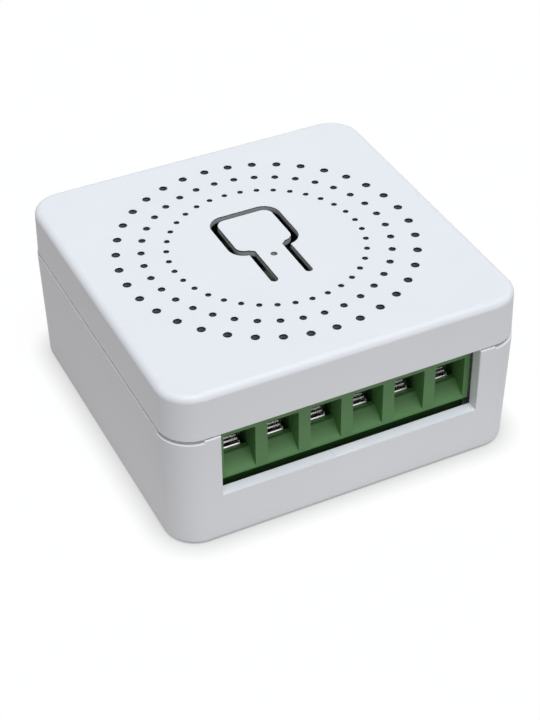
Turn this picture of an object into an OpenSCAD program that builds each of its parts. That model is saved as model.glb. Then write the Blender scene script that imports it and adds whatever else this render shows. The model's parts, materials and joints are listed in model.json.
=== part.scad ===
// Smart relay module for a wall box: a two-part case around a board that carries six screw terminals,
// a relay, a small power supply and a radio board.
// X runs along the terminal face, Y to the back and Z up from the middle of the underside.

/* [Case] */
// Width and depth of the square case
case_w = 41.5; // [38:0.5:46]
// Height of the closed case
case_h = 20; // [18.5:0.5:22]
// Thickness of the side walls
wall_t = 1.5; // [1.4:0.1:1.6]
// Thickness of the floor
floor_t = 1.5; // [1.2:0.1:1.7]
// Thickness of the top
top_t = 0.7; // [0.6:0.1:0.8]
// Radius of the upright corners
corner_r = 3.75; // [2.5:0.25:4]
// Rounding of the top edge
top_edge_r = 1; // [0.5:0.1:1.4]
// Rounding of the bottom edge
bottom_edge_r = 0.5; // [0.3:0.1:0.8]
// Lean of the case's walls away from the joint of its halves, in degrees
draft = 1; // [0:0.25:1.5]
// Open line between the two halves of the case
seam_gap = 0.15; // [0.1:0.05:0.25]
// How much lower the rim is around the upright corners
corner_groove = 0.3; // [0.1:0.05:0.4]

/* [Vents] */
// Vent holes in each of the three rings
vents_per_ring = 36; // [24:1:40]
// Radius of the outer ring of vents
vent_ring_r = 16.5; // [15.5:0.25:17]
// Distance from one ring to the next
vent_ring_step = 2.75; // [2:0.25:3]
// Diameter of the outer ring's vents
vent_d = 0.95; // [0.7:0.05:1.1]
// How much smaller the vents are from one ring to the next
vent_d_step = 0.15; // [0:0.05:0.2]

/* [Button] */
// Width of the button's head
head_w = 6.7; // [6:0.1:8]
// Length of the button's head
head_l = 6.5; // [6:0.1:7]
// Width of the button's neck
neck_w = 3.3; // [2.6:0.1:4]
// Length of the neck from its root to the head
neck_l = 6; // [5:0.25:7]
// Width of the slot around the button
slot_w = 0.85; // [0.6:0.05:1]
// Diameter of the light hole in the neck
light_hole_d = 0.75; // [0.5:0.05:1.2]

/* [Terminals] */
// Distance between neighbouring terminals
pitch = 5; // [5:0.02:5.08]
// Clear width of a terminal's cell
cell_w = 3.55; // [3.55:0.05:3.75]
// Thickness of the terminal housing's back wall
block_back_t = 1.09; // [0.9:0.01:1.5]
// Room between the terminal housing and the floor
block_floor_gap = 0.5; // [0.3:0.1:0.6]
// Wire space between a tray and the top of its open cage
wire_h = 3.05; // [2.85:0.05:3.15]
// Diameter of a clamp screw's shank
screw_d = 2; // [1.6:0.1:2.1]
// Diameter of a clamp screw's head
screw_head_d = 3.1; // [2.8:0.1:3.2]
// Diameter of the screwdriver holes in the floor
access_d = 3; // [2.6:0.1:3.4]

/* [Board] */
// Thickness of the main board
board_t = 1.6; // [1.2:0.2:1.6]
// Room between the main board and the top of the case
headroom = 3.7; // [3.1:0.05:3.9]
// Diameter of the wire leads that are soldered into the board
lead_d = 0.6; // [0.5:0.05:0.7]

/* [Relay] */
// Length of the relay in a case of the usual width
relay_l = 28.5; // [28:0.25:29]
// Width of the relay in a case of the usual width
relay_w = 10.1; // [10:0.1:10.6]
// Room between the relay and the floor
relay_floor_gap = 0.3; // [0.2:0.1:0.5]

/* [Power supply] */
// Width of the transformer's core in a case of the usual width
core_w = 10.2; // [9.6:0.1:10.8]
// Room between the transformer's core and the floor
core_floor_gap = 1.5; // [1.3:0.1:2.1]
// Diameter of the bulk capacitor in a case of the usual width
bulk_d = 8; // [6.3:0.1:8.2]
// Room between the bulk capacitor and the floor
bulk_floor_gap = 1.3; // [0.9:0.1:3.5]
// Diameter of the output capacitor in a case of the usual width
output_d = 6.3; // [5:0.1:6.5]
// Diameter of the varistor's disc in a case of the usual width
varistor_d = 7.4; // [6:0.1:8]

/* [Radio] */
// Length of the radio board in a case of the usual width
radio_l = 16; // [15:0.5:16.5]
// Room between the radio board and the floor
radio_floor_gap = 1.7; // [1.3:0.2:2.7]

/* [Hidden] */

$fn = 48;
// Arc steps of the faceted case shells
shell_fn = 32;
// How far a cutting shape runs past the face that it cuts
past = 1;

// Colours as the photo shows them, and usual ones for what it hides
case_white = [0.93, 0.94, 0.96];
block_green = [0.25, 0.45, 0.28];
board_green = [0.10, 0.33, 0.18];
bright_metal = [0.80, 0.80, 0.78];
dark_plastic = [0.12, 0.12, 0.13];
copper = [0.72, 0.42, 0.22];
ferrite = [0.22, 0.22, 0.23];
relay_blue = [0.16, 0.36, 0.62];

// Heights, worked down from the top of the case
lid_under_z = case_h - top_t;
board_top_z = lid_under_z - headroom;
board_z = board_top_z - board_t;
rim_over_board = 0.3;
rim_z = board_z + rim_over_board;
lid_z = rim_z + seam_gap;

// Walls, and the lap joint between the two halves
inner_w = case_w - 2 * wall_t;
inner_r = corner_r - wall_t;
// The parts on the board are laid out for this inner width, and spread or close up with the case
layout_w = 39;
layout = inner_w / layout_w;
// One step of their layout grid, which divides the inner width
layout_steps = 39;
grid = inner_w / layout_steps;
relay_len = relay_l * layout;
relay_wide = relay_w * layout;
post_xy = case_w / 2 - corner_r;
lid_inset = 0.1;
rim_chamfer = 0.2;
lip_t = 0.7;
lip_h = 1.2;
lip_root = 0.6;
lap_clear = 0.1;
lip_w = inner_w + 2 * lip_t;
rebate_w = lip_w + 2 * lap_clear;
rebate_top_z = rim_z + lip_h + 2 * lap_clear;
lid_inner_w = inner_w - 2 * lap_clear;

// Snap hooks of the upper case, two on each side wall, and their pockets in the lower case
hook_t = 1;
hook_w = 5;
hook_y = 8;
hook_clear = 0.15;
hook_drop = 1.6;
hook_tip_z = board_z - hook_drop;
hook_barb = 0.5;
hook_barb_h = 0.8;

// Main board
board_w = inner_w - 2 * (hook_t + 2 * hook_clear);
board_end_gap = 0.7;
board_l = inner_w - 2 * board_end_gap;
board_r = 1.5;
lead_clear = 0.15;
lead_hole_d = lead_d + 2 * lead_clear;
lead_past_board = 1;
lead_end_z = board_top_z + lead_past_board;

// Button, in the plan of the top face
head_r = 1.1;
shoulder_drop = 0.45;
shoulder_in = 0.45;
head_base_y = -0.1;
root_y = head_base_y - neck_l;
head_y = head_base_y + head_l / 2;
root_gap = 0.05;
light_from_head = 1.75;
light_y = head_base_y - light_from_head;

// Tact switch under the button's head
switch_w = 4.2;
switch_h = 1.4;
plunger_d = 2;
plunger_clear = 0.05;
plunger_rise = 0.5;
plunger_travel = 0.25;
plunger_seat = 0.4;
nub_gap = 0.1;

// Terminal housing, hung under the board behind the lower case's window
terminals = 6;
block_gap = 0.1;
block_front = -case_w / 2 + wall_t + block_gap;
end_wall = 0.7;
block_w = (terminals - 1) * pitch + cell_w + 2 * end_wall;
block_z = floor_t + block_floor_gap;
block_h = board_z - block_z;
lintel_h = 1.4;
ramp_d = 1.66;
ledge_d = 0.7;
cavity_y = block_front + ramp_d + ledge_d;
ledge_share = 0.4375;
ledge_z = board_z - ledge_share * block_h;
ramp_h = 1.5;
lip_face_z = ledge_z - ramp_h;
lip_face_h = 0.3;
lip_undercut = 0.9;

// Window in the lower case around the housing's face
window_side_gap = 0.22;
window_w = block_w + 2 * window_side_gap;
sill_under_lip = 1.15;
sill_z = lip_face_z - sill_under_lip;

// Wire tray, clamp cage and clamp screw of one terminal
tray_lap = 0.2;
tray_y = cavity_y - tray_lap;
tray_w = 2.1;
tray_t = 0.2;
tray_floor = 0.3;
tray_side_h = 1;
tray_h = tray_floor + tray_side_h;
tray_l = 4.4;
tray_end_gap = 0.4;
cavity_d = tray_l - tray_lap + tray_end_gap;
block_d = ramp_d + ledge_d + cavity_d + block_back_t;
tooth_w = 0.3;
tooth_h = 0.12;
solder_pin_w = 0.9;
solder_pin_t = 0.6;
tray_top_z = ledge_z + tray_floor;
cage_clear = 0.1;
cage_w = cell_w - 2 * cage_clear;
cage_in_w = tray_w + 2 * cage_clear;
cage_l = 2.7;
cage_front_gap = 0.8;
cage_y = cavity_y + cage_front_gap;
cage_top_t = 0.6;
cage_nut_t = 1;
cage_in_top_z = tray_top_z + wire_h;
cage_nut_drop = 1.85;
cage_nut_z = ledge_z - cage_nut_drop;
screw_y = cage_y + cage_l / 2;
screw_clear = 0.05;
screw_head_h = 1.4;
screw_head_lift = 1.1;
screw_head_z = block_z + screw_head_lift;
screw_tip_gap = 0.15;
screw_tip_z = ledge_z - screw_tip_gap;
screw_slot_w = 0.5;
screw_slot_h = 0.6;
head_clear = 0.1;
cavity_z = screw_head_z + screw_head_h + head_clear;
head_seat = 0.35;
driver_d = screw_head_d - 2 * head_seat;

// Posts that carry the board, beside the terminal housing and the relay
post_d = 3;
post_gap = 0.25;
post_x = max(block_w, relay_len) / 2 + post_gap + post_d / 2;
post_end_gap = 1.7;
post_y = inner_w / 2 - post_d / 2 - post_end_gap;
locator_d = 1.1;
locator_clear = 0.1;
lid_post_d = 2.4;

// Relay, against the back of the case
relay_back_gap = 0.9 * grid;
relay_y = inner_w / 2 - relay_back_gap - relay_wide / 2;
relay_z = floor_t + relay_floor_gap;
relay_h = board_z - relay_z;
relay_wall = 0.6;
relay_base_h = 1.4;
relay_rim_gap = 0.2;
relay_fit = 0.1;
relay_in_l = relay_len - 2 * relay_wall;
relay_in_w = relay_wide - 2 * relay_wall;
relay_in_z = relay_z + relay_wall;
yoke_t = 0.8;
yoke_w = 7 * grid;
yoke_lift = 0.3;
yoke_z = relay_in_z + yoke_lift;
yoke_end_gap = 1;
yoke_x = -relay_in_l / 2 + yoke_end_gap;
yoke_l = 15.8 * grid;
coil_room = board_z - relay_base_h - yoke_z - yoke_t;
flange_side_gap = 0.75;
flange_share = 0.8132;
coil_mid_share = 0.4286;
core_share = 0.3714;
flange_w = min(relay_in_w - 2 * flange_side_gap, coil_room * flange_share);
flange_over_coil = 0.2;
coil_z = yoke_z + yoke_t + coil_room * coil_mid_share;
coil_d = flange_w - 2 * flange_over_coil;
core_d = coil_d * core_share;
core_setback = 0.2;
core_end_x = yoke_x + yoke_l - core_setback;
bobbin_wall = 0.5;
bobbin_clear = 0.1;
flange_t = 0.8;
core_bare = 0.8;
bobbin_end_x = core_end_x - core_bare;
armature_gap = 0.45;
armature_x = core_end_x + armature_gap;
armature_lift = 1;
armature_z = yoke_z + armature_lift;
armature_end_gap = 1.8;
armature_h = coil_room - armature_end_gap;
armature_w = 6 * grid;
leaf_l = 6.8 * grid;
leaf_t = 0.25;
leaf_lift = 0.6;
leaf_z = armature_z + leaf_lift;
leaf_w = 4 * grid;
rivet_d = 2.4 * grid;
rivet_h = 0.5;
rivet_from_end = 1;
contact_x = armature_x + yoke_t + leaf_l - rivet_from_end;
contact_gap = 0.55;
contact_t = 0.6;
coil_pin_inset = 0.6;
coil_pin_x = -relay_in_l / 2 + coil_pin_inset;
coil_pin_y = 3 * grid;
common_pin_reach = 3.2 * grid;
pin_drop = 1;

// Power supply, under the middle of the board
transformer_at = grid * [-1.5, -4.2];
core_wide = core_w * layout;
core_d_y = 4.7 * grid;
core_leg = 2.4 * grid;
core_yoke = 1.5 * grid;
core_gap = 0.6;
core_top_z = board_z - core_gap;
core_h = core_top_z - floor_t - core_floor_gap;
window_slack = 0.1;
bobbin_tube_t = 0.4;
bobbin_flange_t = 0.6;
winding_t = 1.7 * grid;
winding_fill = [0.6, 0.9];
flange_fill = [0.7, 1];
foot_w = 9 * grid;
foot_t = 1.6 * grid;
foot_h = 1.4;
transformer_pin_pitch = 2.5 * grid;
transformer_pins_per_side = 4;
bulk_at = grid * [-13, 3.4];
bulk_dia = bulk_d * layout;
bulk_h = board_z - floor_t - bulk_floor_gap;
bulk_lead_gap = 3.5 * grid;
output_at = grid * [8.4, 3.4];
output_dia = output_d * layout;
output_h = 7;
output_lead_gap = 2.5 * grid;
can_rim_r = 0.4;
can_groove = 0.3;
can_groove_drop = 1.6;
varistor_at = grid * [-13, -3];
varistor_dia = varistor_d * layout;
varistor_t = 3.2 * grid;
varistor_gap = 1.2;
varistor_z = board_z - varistor_gap - varistor_dia / 2;
varistor_lead_gap = 5 * grid;
fuse_at = grid * [-13, -7.6];
fuse_d = 2.8 * grid;
fuse_l = 6.5 * grid;
fuse_gap = 0.8;
fuse_z = board_z - fuse_gap - fuse_d / 2;
fuse_lead_gap = 8.5 * grid;
choke_at = grid * [8.4, -3.8];
choke_d = 5 * grid;
choke_h = 6;
choke_lead_gap = 3 * grid;
choke_flange_t = 1;
choke_drum_d = 3.4 * grid;

// Radio board, standing beside the right wall, with its shield on the inner face
radio_t = 0.8;
radio_from_edge = 3.2 * grid;
radio_x = board_w / 2 - radio_from_edge;
radio_y = -1.5 * grid;
radio_len = radio_l * layout;
radio_gap = 0.2;
radio_z = floor_t + radio_floor_gap;
radio_h = board_z - radio_gap - radio_z;
shield_end_gap = 2.5;
shield_l = radio_len - 2 * shield_end_gap;
shield_lift = 1.2;
shield_drop = 1.8;
shield_h = radio_h - shield_lift - shield_drop;
shield_t = 0.2;
shield_d = 1.7 * grid;
shield_z = radio_z + shield_lift;
chip_w = 5 * grid;
chip_t = 0.9;
radio_pin_pitch = 2 * grid;
radio_pins_count = 7;
radio_pin_w = 0.5;
radio_pin_drop = 1.4;

// Chips on top of the board: each one's place, body, and the pitch and reach of its legs
bridge_at = [-8.3, 5.5];
bridge_size = [4.7, 3.9, 2.4];
bridge_pitch = 2.54;
bridge_reach = 1.2;
converter_at = [-7, -4];
converter_size = [4.9, 3.9, 1.5];
converter_pitch = 1.27;
converter_reach = 1.05;
opto_at = [13, -3];
opto_size = [4.4, 3.9, 2];
opto_pitch = 2.54;
opto_reach = 1.3;
regulator_at = [12.6, 5];
regulator_size = [4.5, 2.5, 1.5];
regulator_pitch = 1.5;
regulator_reach = 0.8;
driver_at = [5.5, 10.5];
driver_size = [2.9, 1.3, 1];
driver_pitch = 1.9;
driver_reach = 0.55;
diode_at = [-5.5, 11];
diode_size = [2.6, 4.3, 2.1];
diode_reach = 0.5;
leg_w = 0.45;
leg_t = 0.2;
chip_stand_off = 0.1;
resistor_size = [1.6, 0.8, 0.45];
capacitor_size = [2, 1.25, 0.9];
front_resistor_x = [-9, -6, 6, 9];
front_resistor_y = -10.7;
side_resistor_x = 5;
side_resistor_y = [-1.5, 1.5];
back_resistor_x = [-1.5, 1.5];
back_resistor_y = 9.5;
resistor_places = [
    for (x = front_resistor_x) [x, front_resistor_y],
    for (y = side_resistor_y) [side_resistor_x, y],
    for (x = back_resistor_x) [x, back_resistor_y],
];
capacitor_places = [[-4.5, 1.5], [4.5, -4.5], [12.5, 1], [-13, 9.5], [10.5, 10]];
led_d = 2.9;
led_h = 2.3;
led_flange_d = 3.3;
led_flange_h = 0.6;
led_lead_gap = 1.27;

// The two points that lie half a gap either side of a place, along an axis
function pair(at, gap, along) = [at - along * gap / 2, at + along * gap / 2];

// Middle of a terminal's cell, counted from 1
function cell_x(i) = (i - (terminals + 1) / 2) * pitch;

along_x = [1, 0];
along_y = [0, 1];
terminal_pin_y = tray_y + tray_l - solder_pin_t / 2;
radio_pin_x = radio_x + radio_t + radio_pin_w / 2;
radio_pin_points = [
    for (i = [0:radio_pins_count - 1])
        [radio_pin_x, radio_y + (i - (radio_pins_count - 1) / 2) * radio_pin_pitch]
];
transformer_pin_points = [
    for (side = [-1, 1], i = [0:transformer_pins_per_side - 1])
        transformer_at
        + [(i - (transformer_pins_per_side - 1) / 2) * transformer_pin_pitch, side * foot_w / 2]
];
relay_pin_points = [
    for (side = [-1, 1]) [coil_pin_x, relay_y + side * coil_pin_y],
    [contact_x, relay_y],
    [armature_x + common_pin_reach, relay_y],
];
// Every lead that passes through the main board
lead_points = concat(
    pair(bulk_at, bulk_lead_gap, along_y), pair(output_at, output_lead_gap, along_y),
    pair(varistor_at, varistor_lead_gap, along_x), pair(fuse_at, fuse_lead_gap, along_x),
    pair(choke_at, choke_lead_gap, along_y), pair([0, light_y], led_lead_gap, along_x),
    transformer_pin_points, radio_pin_points, relay_pin_points
);

// A rectangle with round corners, about the origin
module rounded_square(w, l, r) {
    square([w - 2 * r, l], center = true);
    square([w, l - 2 * r], center = true);
    for (sx = [-1, 1], sy = [-1, 1])
        translate([sx * (w / 2 - r), sy * (l / 2 - r)])
            circle(r);
}

// A rounded box about the Z axis, whose four upright corners turn one profile
module corner_hull(profile) {
    hull()
        for (sx = [-1, 1], sy = [-1, 1])
            translate([sx * post_xy, sy * post_xy, 0])
                rotate_extrude($fn = shell_fn)
                    polygon(profile);
}

// An upright round lead from height z0 to height z1
module lead(at, z0, z1, d = lead_d) {
    translate([at[0], at[1], z0])
        cylinder(d = d, h = z1 - z0);
}

// A box whose base is centred on a place
module block_at(at, size, z) {
    translate([at[0] - size[0] / 2, at[1] - size[1] / 2, z])
        cube(size);
}

// A small part's size, closed up or spread in plan with the layout of the board
function laid_out(size) = [size[0] * layout, size[1] * layout, size[2]];

// A moulded chip: a body on a row of flat legs along each long side
module chip(at, size, legs, leg_pitch, reach, turn = 0) {
    body = laid_out(size);
    leg = [leg_w, body[1] + 2 * reach * layout, leg_t];
    translate([at[0] * layout, at[1] * layout, board_top_z])
        rotate(turn) {
            block_at([0, 0], body, chip_stand_off);
            for (i = [0:legs - 1])
                block_at([(i - (legs - 1) / 2) * leg_pitch * layout, 0], leg, 0);
        }
}

// Outline of the button tongue in the plan of the top face
module tongue_outline() {
    shoulder_y = head_y - head_l / 2;
    translate([0, head_y])
        rounded_square(head_w, head_l, head_r);
    polygon([
        [-head_w / 2 + shoulder_in, shoulder_y + shoulder_in], [-neck_w / 2, shoulder_y - shoulder_drop],
        [neck_w / 2, shoulder_y - shoulder_drop], [head_w / 2 - shoulder_in, shoulder_y + shoulder_in],
    ]);
    translate([-neck_w / 2, root_y])
        square([neck_w, head_y - root_y]);
}

// The opening in the upper case: the tongue's outline grown by the slot, ending in two round slot ends
module button_opening() {
    reach = head_w + head_l + neck_l;
    intersection() {
        offset(r = slot_w)
            tongue_outline();
        translate([-reach, root_y])
            square(2 * reach);
    }
    for (side = [-1, 1])
        translate([side * (neck_w + slot_w) / 2, root_y])
            circle(d = slot_w);
}

module lower_case() {
    foot_r = corner_r - rim_z * tan(draft);
    profile = concat(
        [[0, 0]],
        [for (a = [0:22.5:90]) [
            foot_r - bottom_edge_r + bottom_edge_r * sin(a), bottom_edge_r - bottom_edge_r * cos(a)
        ]],
        [[corner_r, rim_z - rim_chamfer], [corner_r - rim_chamfer, rim_z], [0, rim_z]]
    );
    color(case_white)
        difference() {
            union() {
                difference() {
                    corner_hull(profile);
                    translate([0, 0, floor_t])
                        linear_extrude(case_h)
                            rounded_square(inner_w, inner_w, inner_r);
                    for (sx = [-1, 1], sy = [-1, 1])
                        translate([sx * (post_xy + corner_r), sy * (post_xy + corner_r), rim_z])
                            cube([2 * corner_r, 2 * corner_r, 2 * corner_groove], center = true);
                }
                translate([0, 0, rim_z - lip_root])
                    linear_extrude(lip_root + lip_h)
                        difference() {
                            rounded_square(lip_w, lip_w, inner_r + lip_t);
                            rounded_square(inner_w, inner_w, inner_r);
                        }
                for (sx = [-1, 1], sy = [-1, 1])
                    board_post([sx * post_x, sy * post_y]);
            }
            translate([-window_w / 2, -case_w / 2 - past, sill_z])
                cube([window_w, wall_t + 2 * past, case_h]);
            for (i = [1:terminals])
                translate([cell_x(i), screw_y, -past])
                    cylinder(d = access_d, h = floor_t + 2 * past);
            for (sx = [-1, 1], sy = [-1, 1])
                hook_pocket(sx, sy * hook_y);
        }
}

// A post under the board, with the pin that locates the board
module board_post(at) {
    lead(at, floor_t / 2, board_z, post_d);
    lead(at, board_z, board_top_z, locator_d);
}

module hook_pocket(side, y) {
    size = [2 * (hook_barb + hook_clear), hook_w + 4 * hook_clear, hook_barb_h + 4 * hook_clear];
    translate([side * inner_w / 2, y, hook_tip_z + hook_barb_h / 2])
        cube(size, center = true);
}

// A snap hook that hangs from the upper case's wall inside the lower case
module snap_hook(side, y) {
    face_x = inner_w / 2 - hook_clear;
    root_x = inner_w / 2 + lip_t;
    root_top_z = lid_under_z + top_t / 2;
    section = [
        [face_x - hook_t, hook_tip_z], [face_x, hook_tip_z],
        [face_x + hook_barb, hook_tip_z + hook_barb_h / 2], [face_x + hook_barb, hook_tip_z + hook_barb_h],
        [face_x, hook_tip_z + hook_barb_h], [face_x, rebate_top_z],
        [root_x, rebate_top_z], [root_x, root_top_z], [face_x - hook_t, root_top_z],
    ];
    mirror([side < 0 ? 1 : 0, 0, 0])
        translate([0, y + hook_w / 2, 0])
            rotate([90, 0, 0])
                linear_extrude(hook_w)
                    polygon(section);
}

module upper_case() {
    lid_r = corner_r - lid_inset;
    crown_r = lid_r - (case_h - lid_z) * tan(draft);
    profile = concat(
        [[0, lid_z], [lid_r, lid_z]],
        [for (a = [0:15:90]) [
            crown_r - top_edge_r + top_edge_r * cos(a), case_h - top_edge_r + top_edge_r * sin(a)
        ]],
        [[0, case_h]]
    );
    color(case_white)
        difference() {
            union() {
                difference() {
                    corner_hull(profile);
                    linear_extrude(lid_under_z)
                        rounded_square(lid_inner_w, lid_inner_w, inner_r);
                    linear_extrude(rebate_top_z)
                        rounded_square(rebate_w, rebate_w, inner_r + lip_t + lap_clear);
                }
                for (sx = [-1, 1], sy = [-1, 1]) {
                    lead([sx * post_x, sy * post_y], board_top_z, lid_under_z + top_t / 2, lid_post_d);
                    snap_hook(sx, sy * hook_y);
                }
            }
            for (ring = [0:2], i = [0:vents_per_ring - 1])
                rotate(i * 360 / vents_per_ring)
                    translate([vent_ring_r - ring * vent_ring_step, 0, lid_under_z - past])
                        cylinder(d = vent_d - ring * vent_d_step, h = top_t + 2 * past);
            translate([0, 0, lid_under_z - past])
                linear_extrude(top_t + 2 * past)
                    button_opening();
        }
}

module button_tongue() {
    nub_z = board_top_z + switch_h + plunger_rise + nub_gap;
    color(case_white)
        difference() {
            union() {
                translate([0, 0, lid_under_z])
                    linear_extrude(top_t)
                        difference() {
                            tongue_outline();
                            translate([-neck_w, root_y - past])
                                square([2 * neck_w, past + root_gap]);
                        }
                lead([0, head_y], nub_z, lid_under_z + top_t / 2, plunger_d);
            }
            lead([0, light_y], lid_under_z - past, case_h + past, light_hole_d);
        }
}

module main_board() {
    color(board_green)
        difference() {
            translate([0, 0, board_z])
                linear_extrude(board_t)
                    rounded_square(board_w, board_l, board_r);
            for (at = lead_points)
                lead(at, board_z - past, board_top_z + past, lead_hole_d);
            for (i = [1:terminals])
                lead(
                    [cell_x(i), terminal_pin_y], board_z - past, board_top_z + past,
                    norm([solder_pin_w, solder_pin_t]) + 2 * lead_clear
                );
            for (sx = [-1, 1], sy = [-1, 1])
                lead(
                    [sx * post_x, sy * post_y], board_z - past, board_top_z + past,
                    locator_d + 2 * locator_clear
                );
        }
}

// The funnel, cage space, screw pocket and screwdriver hole of one terminal
module terminal_cell() {
    funnel = [
        [block_front - past, lip_face_z], [block_front, lip_face_z],
        [block_front + ramp_d, ledge_z], [cavity_y + past, ledge_z],
        [cavity_y + past, board_z - lintel_h], [block_front - past, board_z - lintel_h],
    ];
    translate([-cell_w / 2, 0, 0])
        rotate([90, 0, 90])
            linear_extrude(cell_w)
                polygon(funnel);
    translate([-cell_w / 2, cavity_y, cavity_z])
        cube([cell_w, cavity_d, block_h]);
    lead([0, screw_y], screw_head_z - head_clear, cavity_z + past, screw_head_d + 2 * head_clear);
    lead([0, screw_y], block_z - past, screw_head_z, driver_d);
}

module terminal_housing() {
    color(block_green)
        difference() {
            translate([-block_w / 2, block_front, block_z])
                cube([block_w, block_d, block_h]);
            translate([-block_w / 2 - past, block_front - past, block_z - past])
                cube([block_w + 2 * past, past + lip_undercut, lip_face_z - lip_face_h - block_z + past]);
            for (i = [1:terminals])
                translate([cell_x(i), 0, 0])
                    terminal_cell();
        }
}

module terminal_cage(i) {
    low_z = cage_nut_z;
    in_low_z = low_z + cage_nut_t;
    color(bright_metal)
        translate([cell_x(i), 0, 0])
            difference() {
                block_at(
                    [0, screw_y],
                    [cage_w, cage_l, cage_in_top_z + cage_top_t - low_z], low_z
                );
                block_at([0, screw_y], [cage_in_w, cage_l + 2 * past, cage_in_top_z - in_low_z], in_low_z);
                lead([0, screw_y], low_z - past, in_low_z + past, screw_d + 2 * screw_clear);
            }
}

module terminal_screw(i) {
    head_top_z = screw_head_z + screw_head_h;
    color(bright_metal)
        translate([cell_x(i), 0, 0])
            difference() {
                union() {
                    lead([0, screw_y], screw_head_z, head_top_z, screw_head_d);
                    lead([0, screw_y], head_top_z, screw_tip_z, screw_d);
                }
                block_at(
                    [0, screw_y], [2 * screw_head_d, screw_slot_w, screw_slot_h + past], screw_head_z - past
                );
            }
}

// The wire tray with its toothed floor, and the pin that is soldered into the board
module terminal_contact(i) {
    teeth = floor((tray_l - 2 * tooth_w) / (2 * tooth_w));
    color(bright_metal)
        translate([cell_x(i), tray_y, ledge_z]) {
            difference() {
                translate([-tray_w / 2, 0, 0])
                    cube([tray_w, tray_l, tray_h]);
                translate([-tray_w / 2 + tray_t, -past, tray_floor])
                    cube([tray_w - 2 * tray_t, tray_l - solder_pin_t + past, tray_h]);
                for (tooth = [1:teeth - 1])
                    translate([-tray_w / 2 + tray_t, 2 * tooth * tooth_w, tray_floor - tooth_h])
                        cube([tray_w - 2 * tray_t, tooth_w, 2 * tooth_h]);
            }
            block_at(
                [0, tray_l - solder_pin_t / 2],
                [solder_pin_w, solder_pin_t, lead_end_z - ledge_z - tray_floor], tray_floor
            );
        }
}

module relay_cover() {
    color(relay_blue)
        difference() {
            block_at([0, relay_y], [relay_len, relay_wide, relay_h - relay_rim_gap], relay_z);
            block_at([0, relay_y], [relay_in_l, relay_in_w, relay_h], relay_in_z);
        }
}

module relay_base() {
    color(dark_plastic)
        difference() {
            block_at(
                [0, relay_y],
                [relay_in_l - 2 * relay_fit, relay_in_w - 2 * relay_fit, relay_base_h],
                board_z - relay_base_h
            );
            for (at = relay_pin_points)
                lead(at, board_z - relay_base_h - past, board_z + past, lead_hole_d);
        }
}

// A bar along X, from x0 to x1 on the relay coil's axis
module coil_bar(x0, x1, d) {
    translate([x0, relay_y, coil_z])
        rotate([0, 90, 0])
            cylinder(d = d, h = x1 - x0);
}

// A square flange of the relay's bobbin
module bobbin_flange(x) {
    translate([x, relay_y - flange_w / 2, coil_z - flange_w / 2])
        cube([flange_t, flange_w, flange_w]);
}

module relay_bobbin() {
    start_x = yoke_x + yoke_t + bobbin_clear;
    bore_d = core_d + 2 * bobbin_clear;
    color(dark_plastic)
        difference() {
            union() {
                coil_bar(start_x, bobbin_end_x, bore_d + 2 * bobbin_wall);
                bobbin_flange(start_x);
                bobbin_flange(bobbin_end_x - flange_t);
            }
            coil_bar(start_x - past, bobbin_end_x + past, bore_d);
        }
}

module relay_winding() {
    start_x = yoke_x + yoke_t + 2 * bobbin_clear + flange_t;
    end_x = bobbin_end_x - flange_t - bobbin_clear;
    color(copper)
        difference() {
            coil_bar(start_x, end_x, coil_d);
            coil_bar(start_x - past, end_x + past, core_d + 4 * bobbin_clear + 2 * bobbin_wall);
        }
}

// The bent yoke plate under the coil, and the core that it carries
module relay_yoke() {
    color("silver") {
        translate([yoke_x, relay_y - yoke_w / 2, yoke_z])
            cube([yoke_l, yoke_w, yoke_t]);
        translate([yoke_x, relay_y - yoke_w / 2, yoke_z])
            cube([yoke_t, yoke_w, coil_z + coil_d / 2 - yoke_z]);
        coil_bar(yoke_x + yoke_t / 2, core_end_x, core_d);
    }
}

// The bent armature: an upright plate before the core, and a leaf with the moving contact
module relay_armature() {
    color("silver") {
        translate([armature_x, relay_y - armature_w / 2, armature_z])
            cube([yoke_t, armature_w, armature_h]);
        translate([armature_x + yoke_t / 2, relay_y - leaf_w / 2, leaf_z])
            cube([leaf_l + yoke_t / 2, leaf_w, leaf_t]);
        lead([contact_x, relay_y], leaf_z + leaf_t / 2, leaf_z + leaf_t + rivet_h, rivet_d);
    }
}

// The fixed contact on its blade, the common pin and the two coil pins
module relay_contacts() {
    fixed_z = leaf_z + leaf_t + rivet_h + contact_gap;
    pin_z = board_z - relay_base_h - pin_drop;
    color(bright_metal) {
        lead([contact_x, relay_y], fixed_z, fixed_z + rivet_h, rivet_d);
        block_at([contact_x, relay_y], [rivet_d, leaf_w, contact_t], fixed_z + rivet_h - contact_t / 4);
        block_at([contact_x, relay_y], [contact_t, rivet_d, pin_z - fixed_z], fixed_z + rivet_h);
        for (at = relay_pin_points)
            lead(at, pin_z, lead_end_z);
    }
}

// A box about the transformer's middle
module transformer_box(size, z) {
    block_at(transformer_at, size, z);
}

module transformer_core() {
    window_w = (core_wide - core_leg) / 2 - core_yoke;
    color(ferrite)
        difference() {
            transformer_box([core_wide, core_d_y, core_h], core_top_z - core_h);
            for (side = [-1, 1])
                block_at(
                    transformer_at + [side * (core_leg + window_w) / 2, 0],
                    [window_w, core_d_y + 2 * past, core_h - 2 * core_yoke], core_top_z - core_h + core_yoke
                );
        }
}

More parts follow.
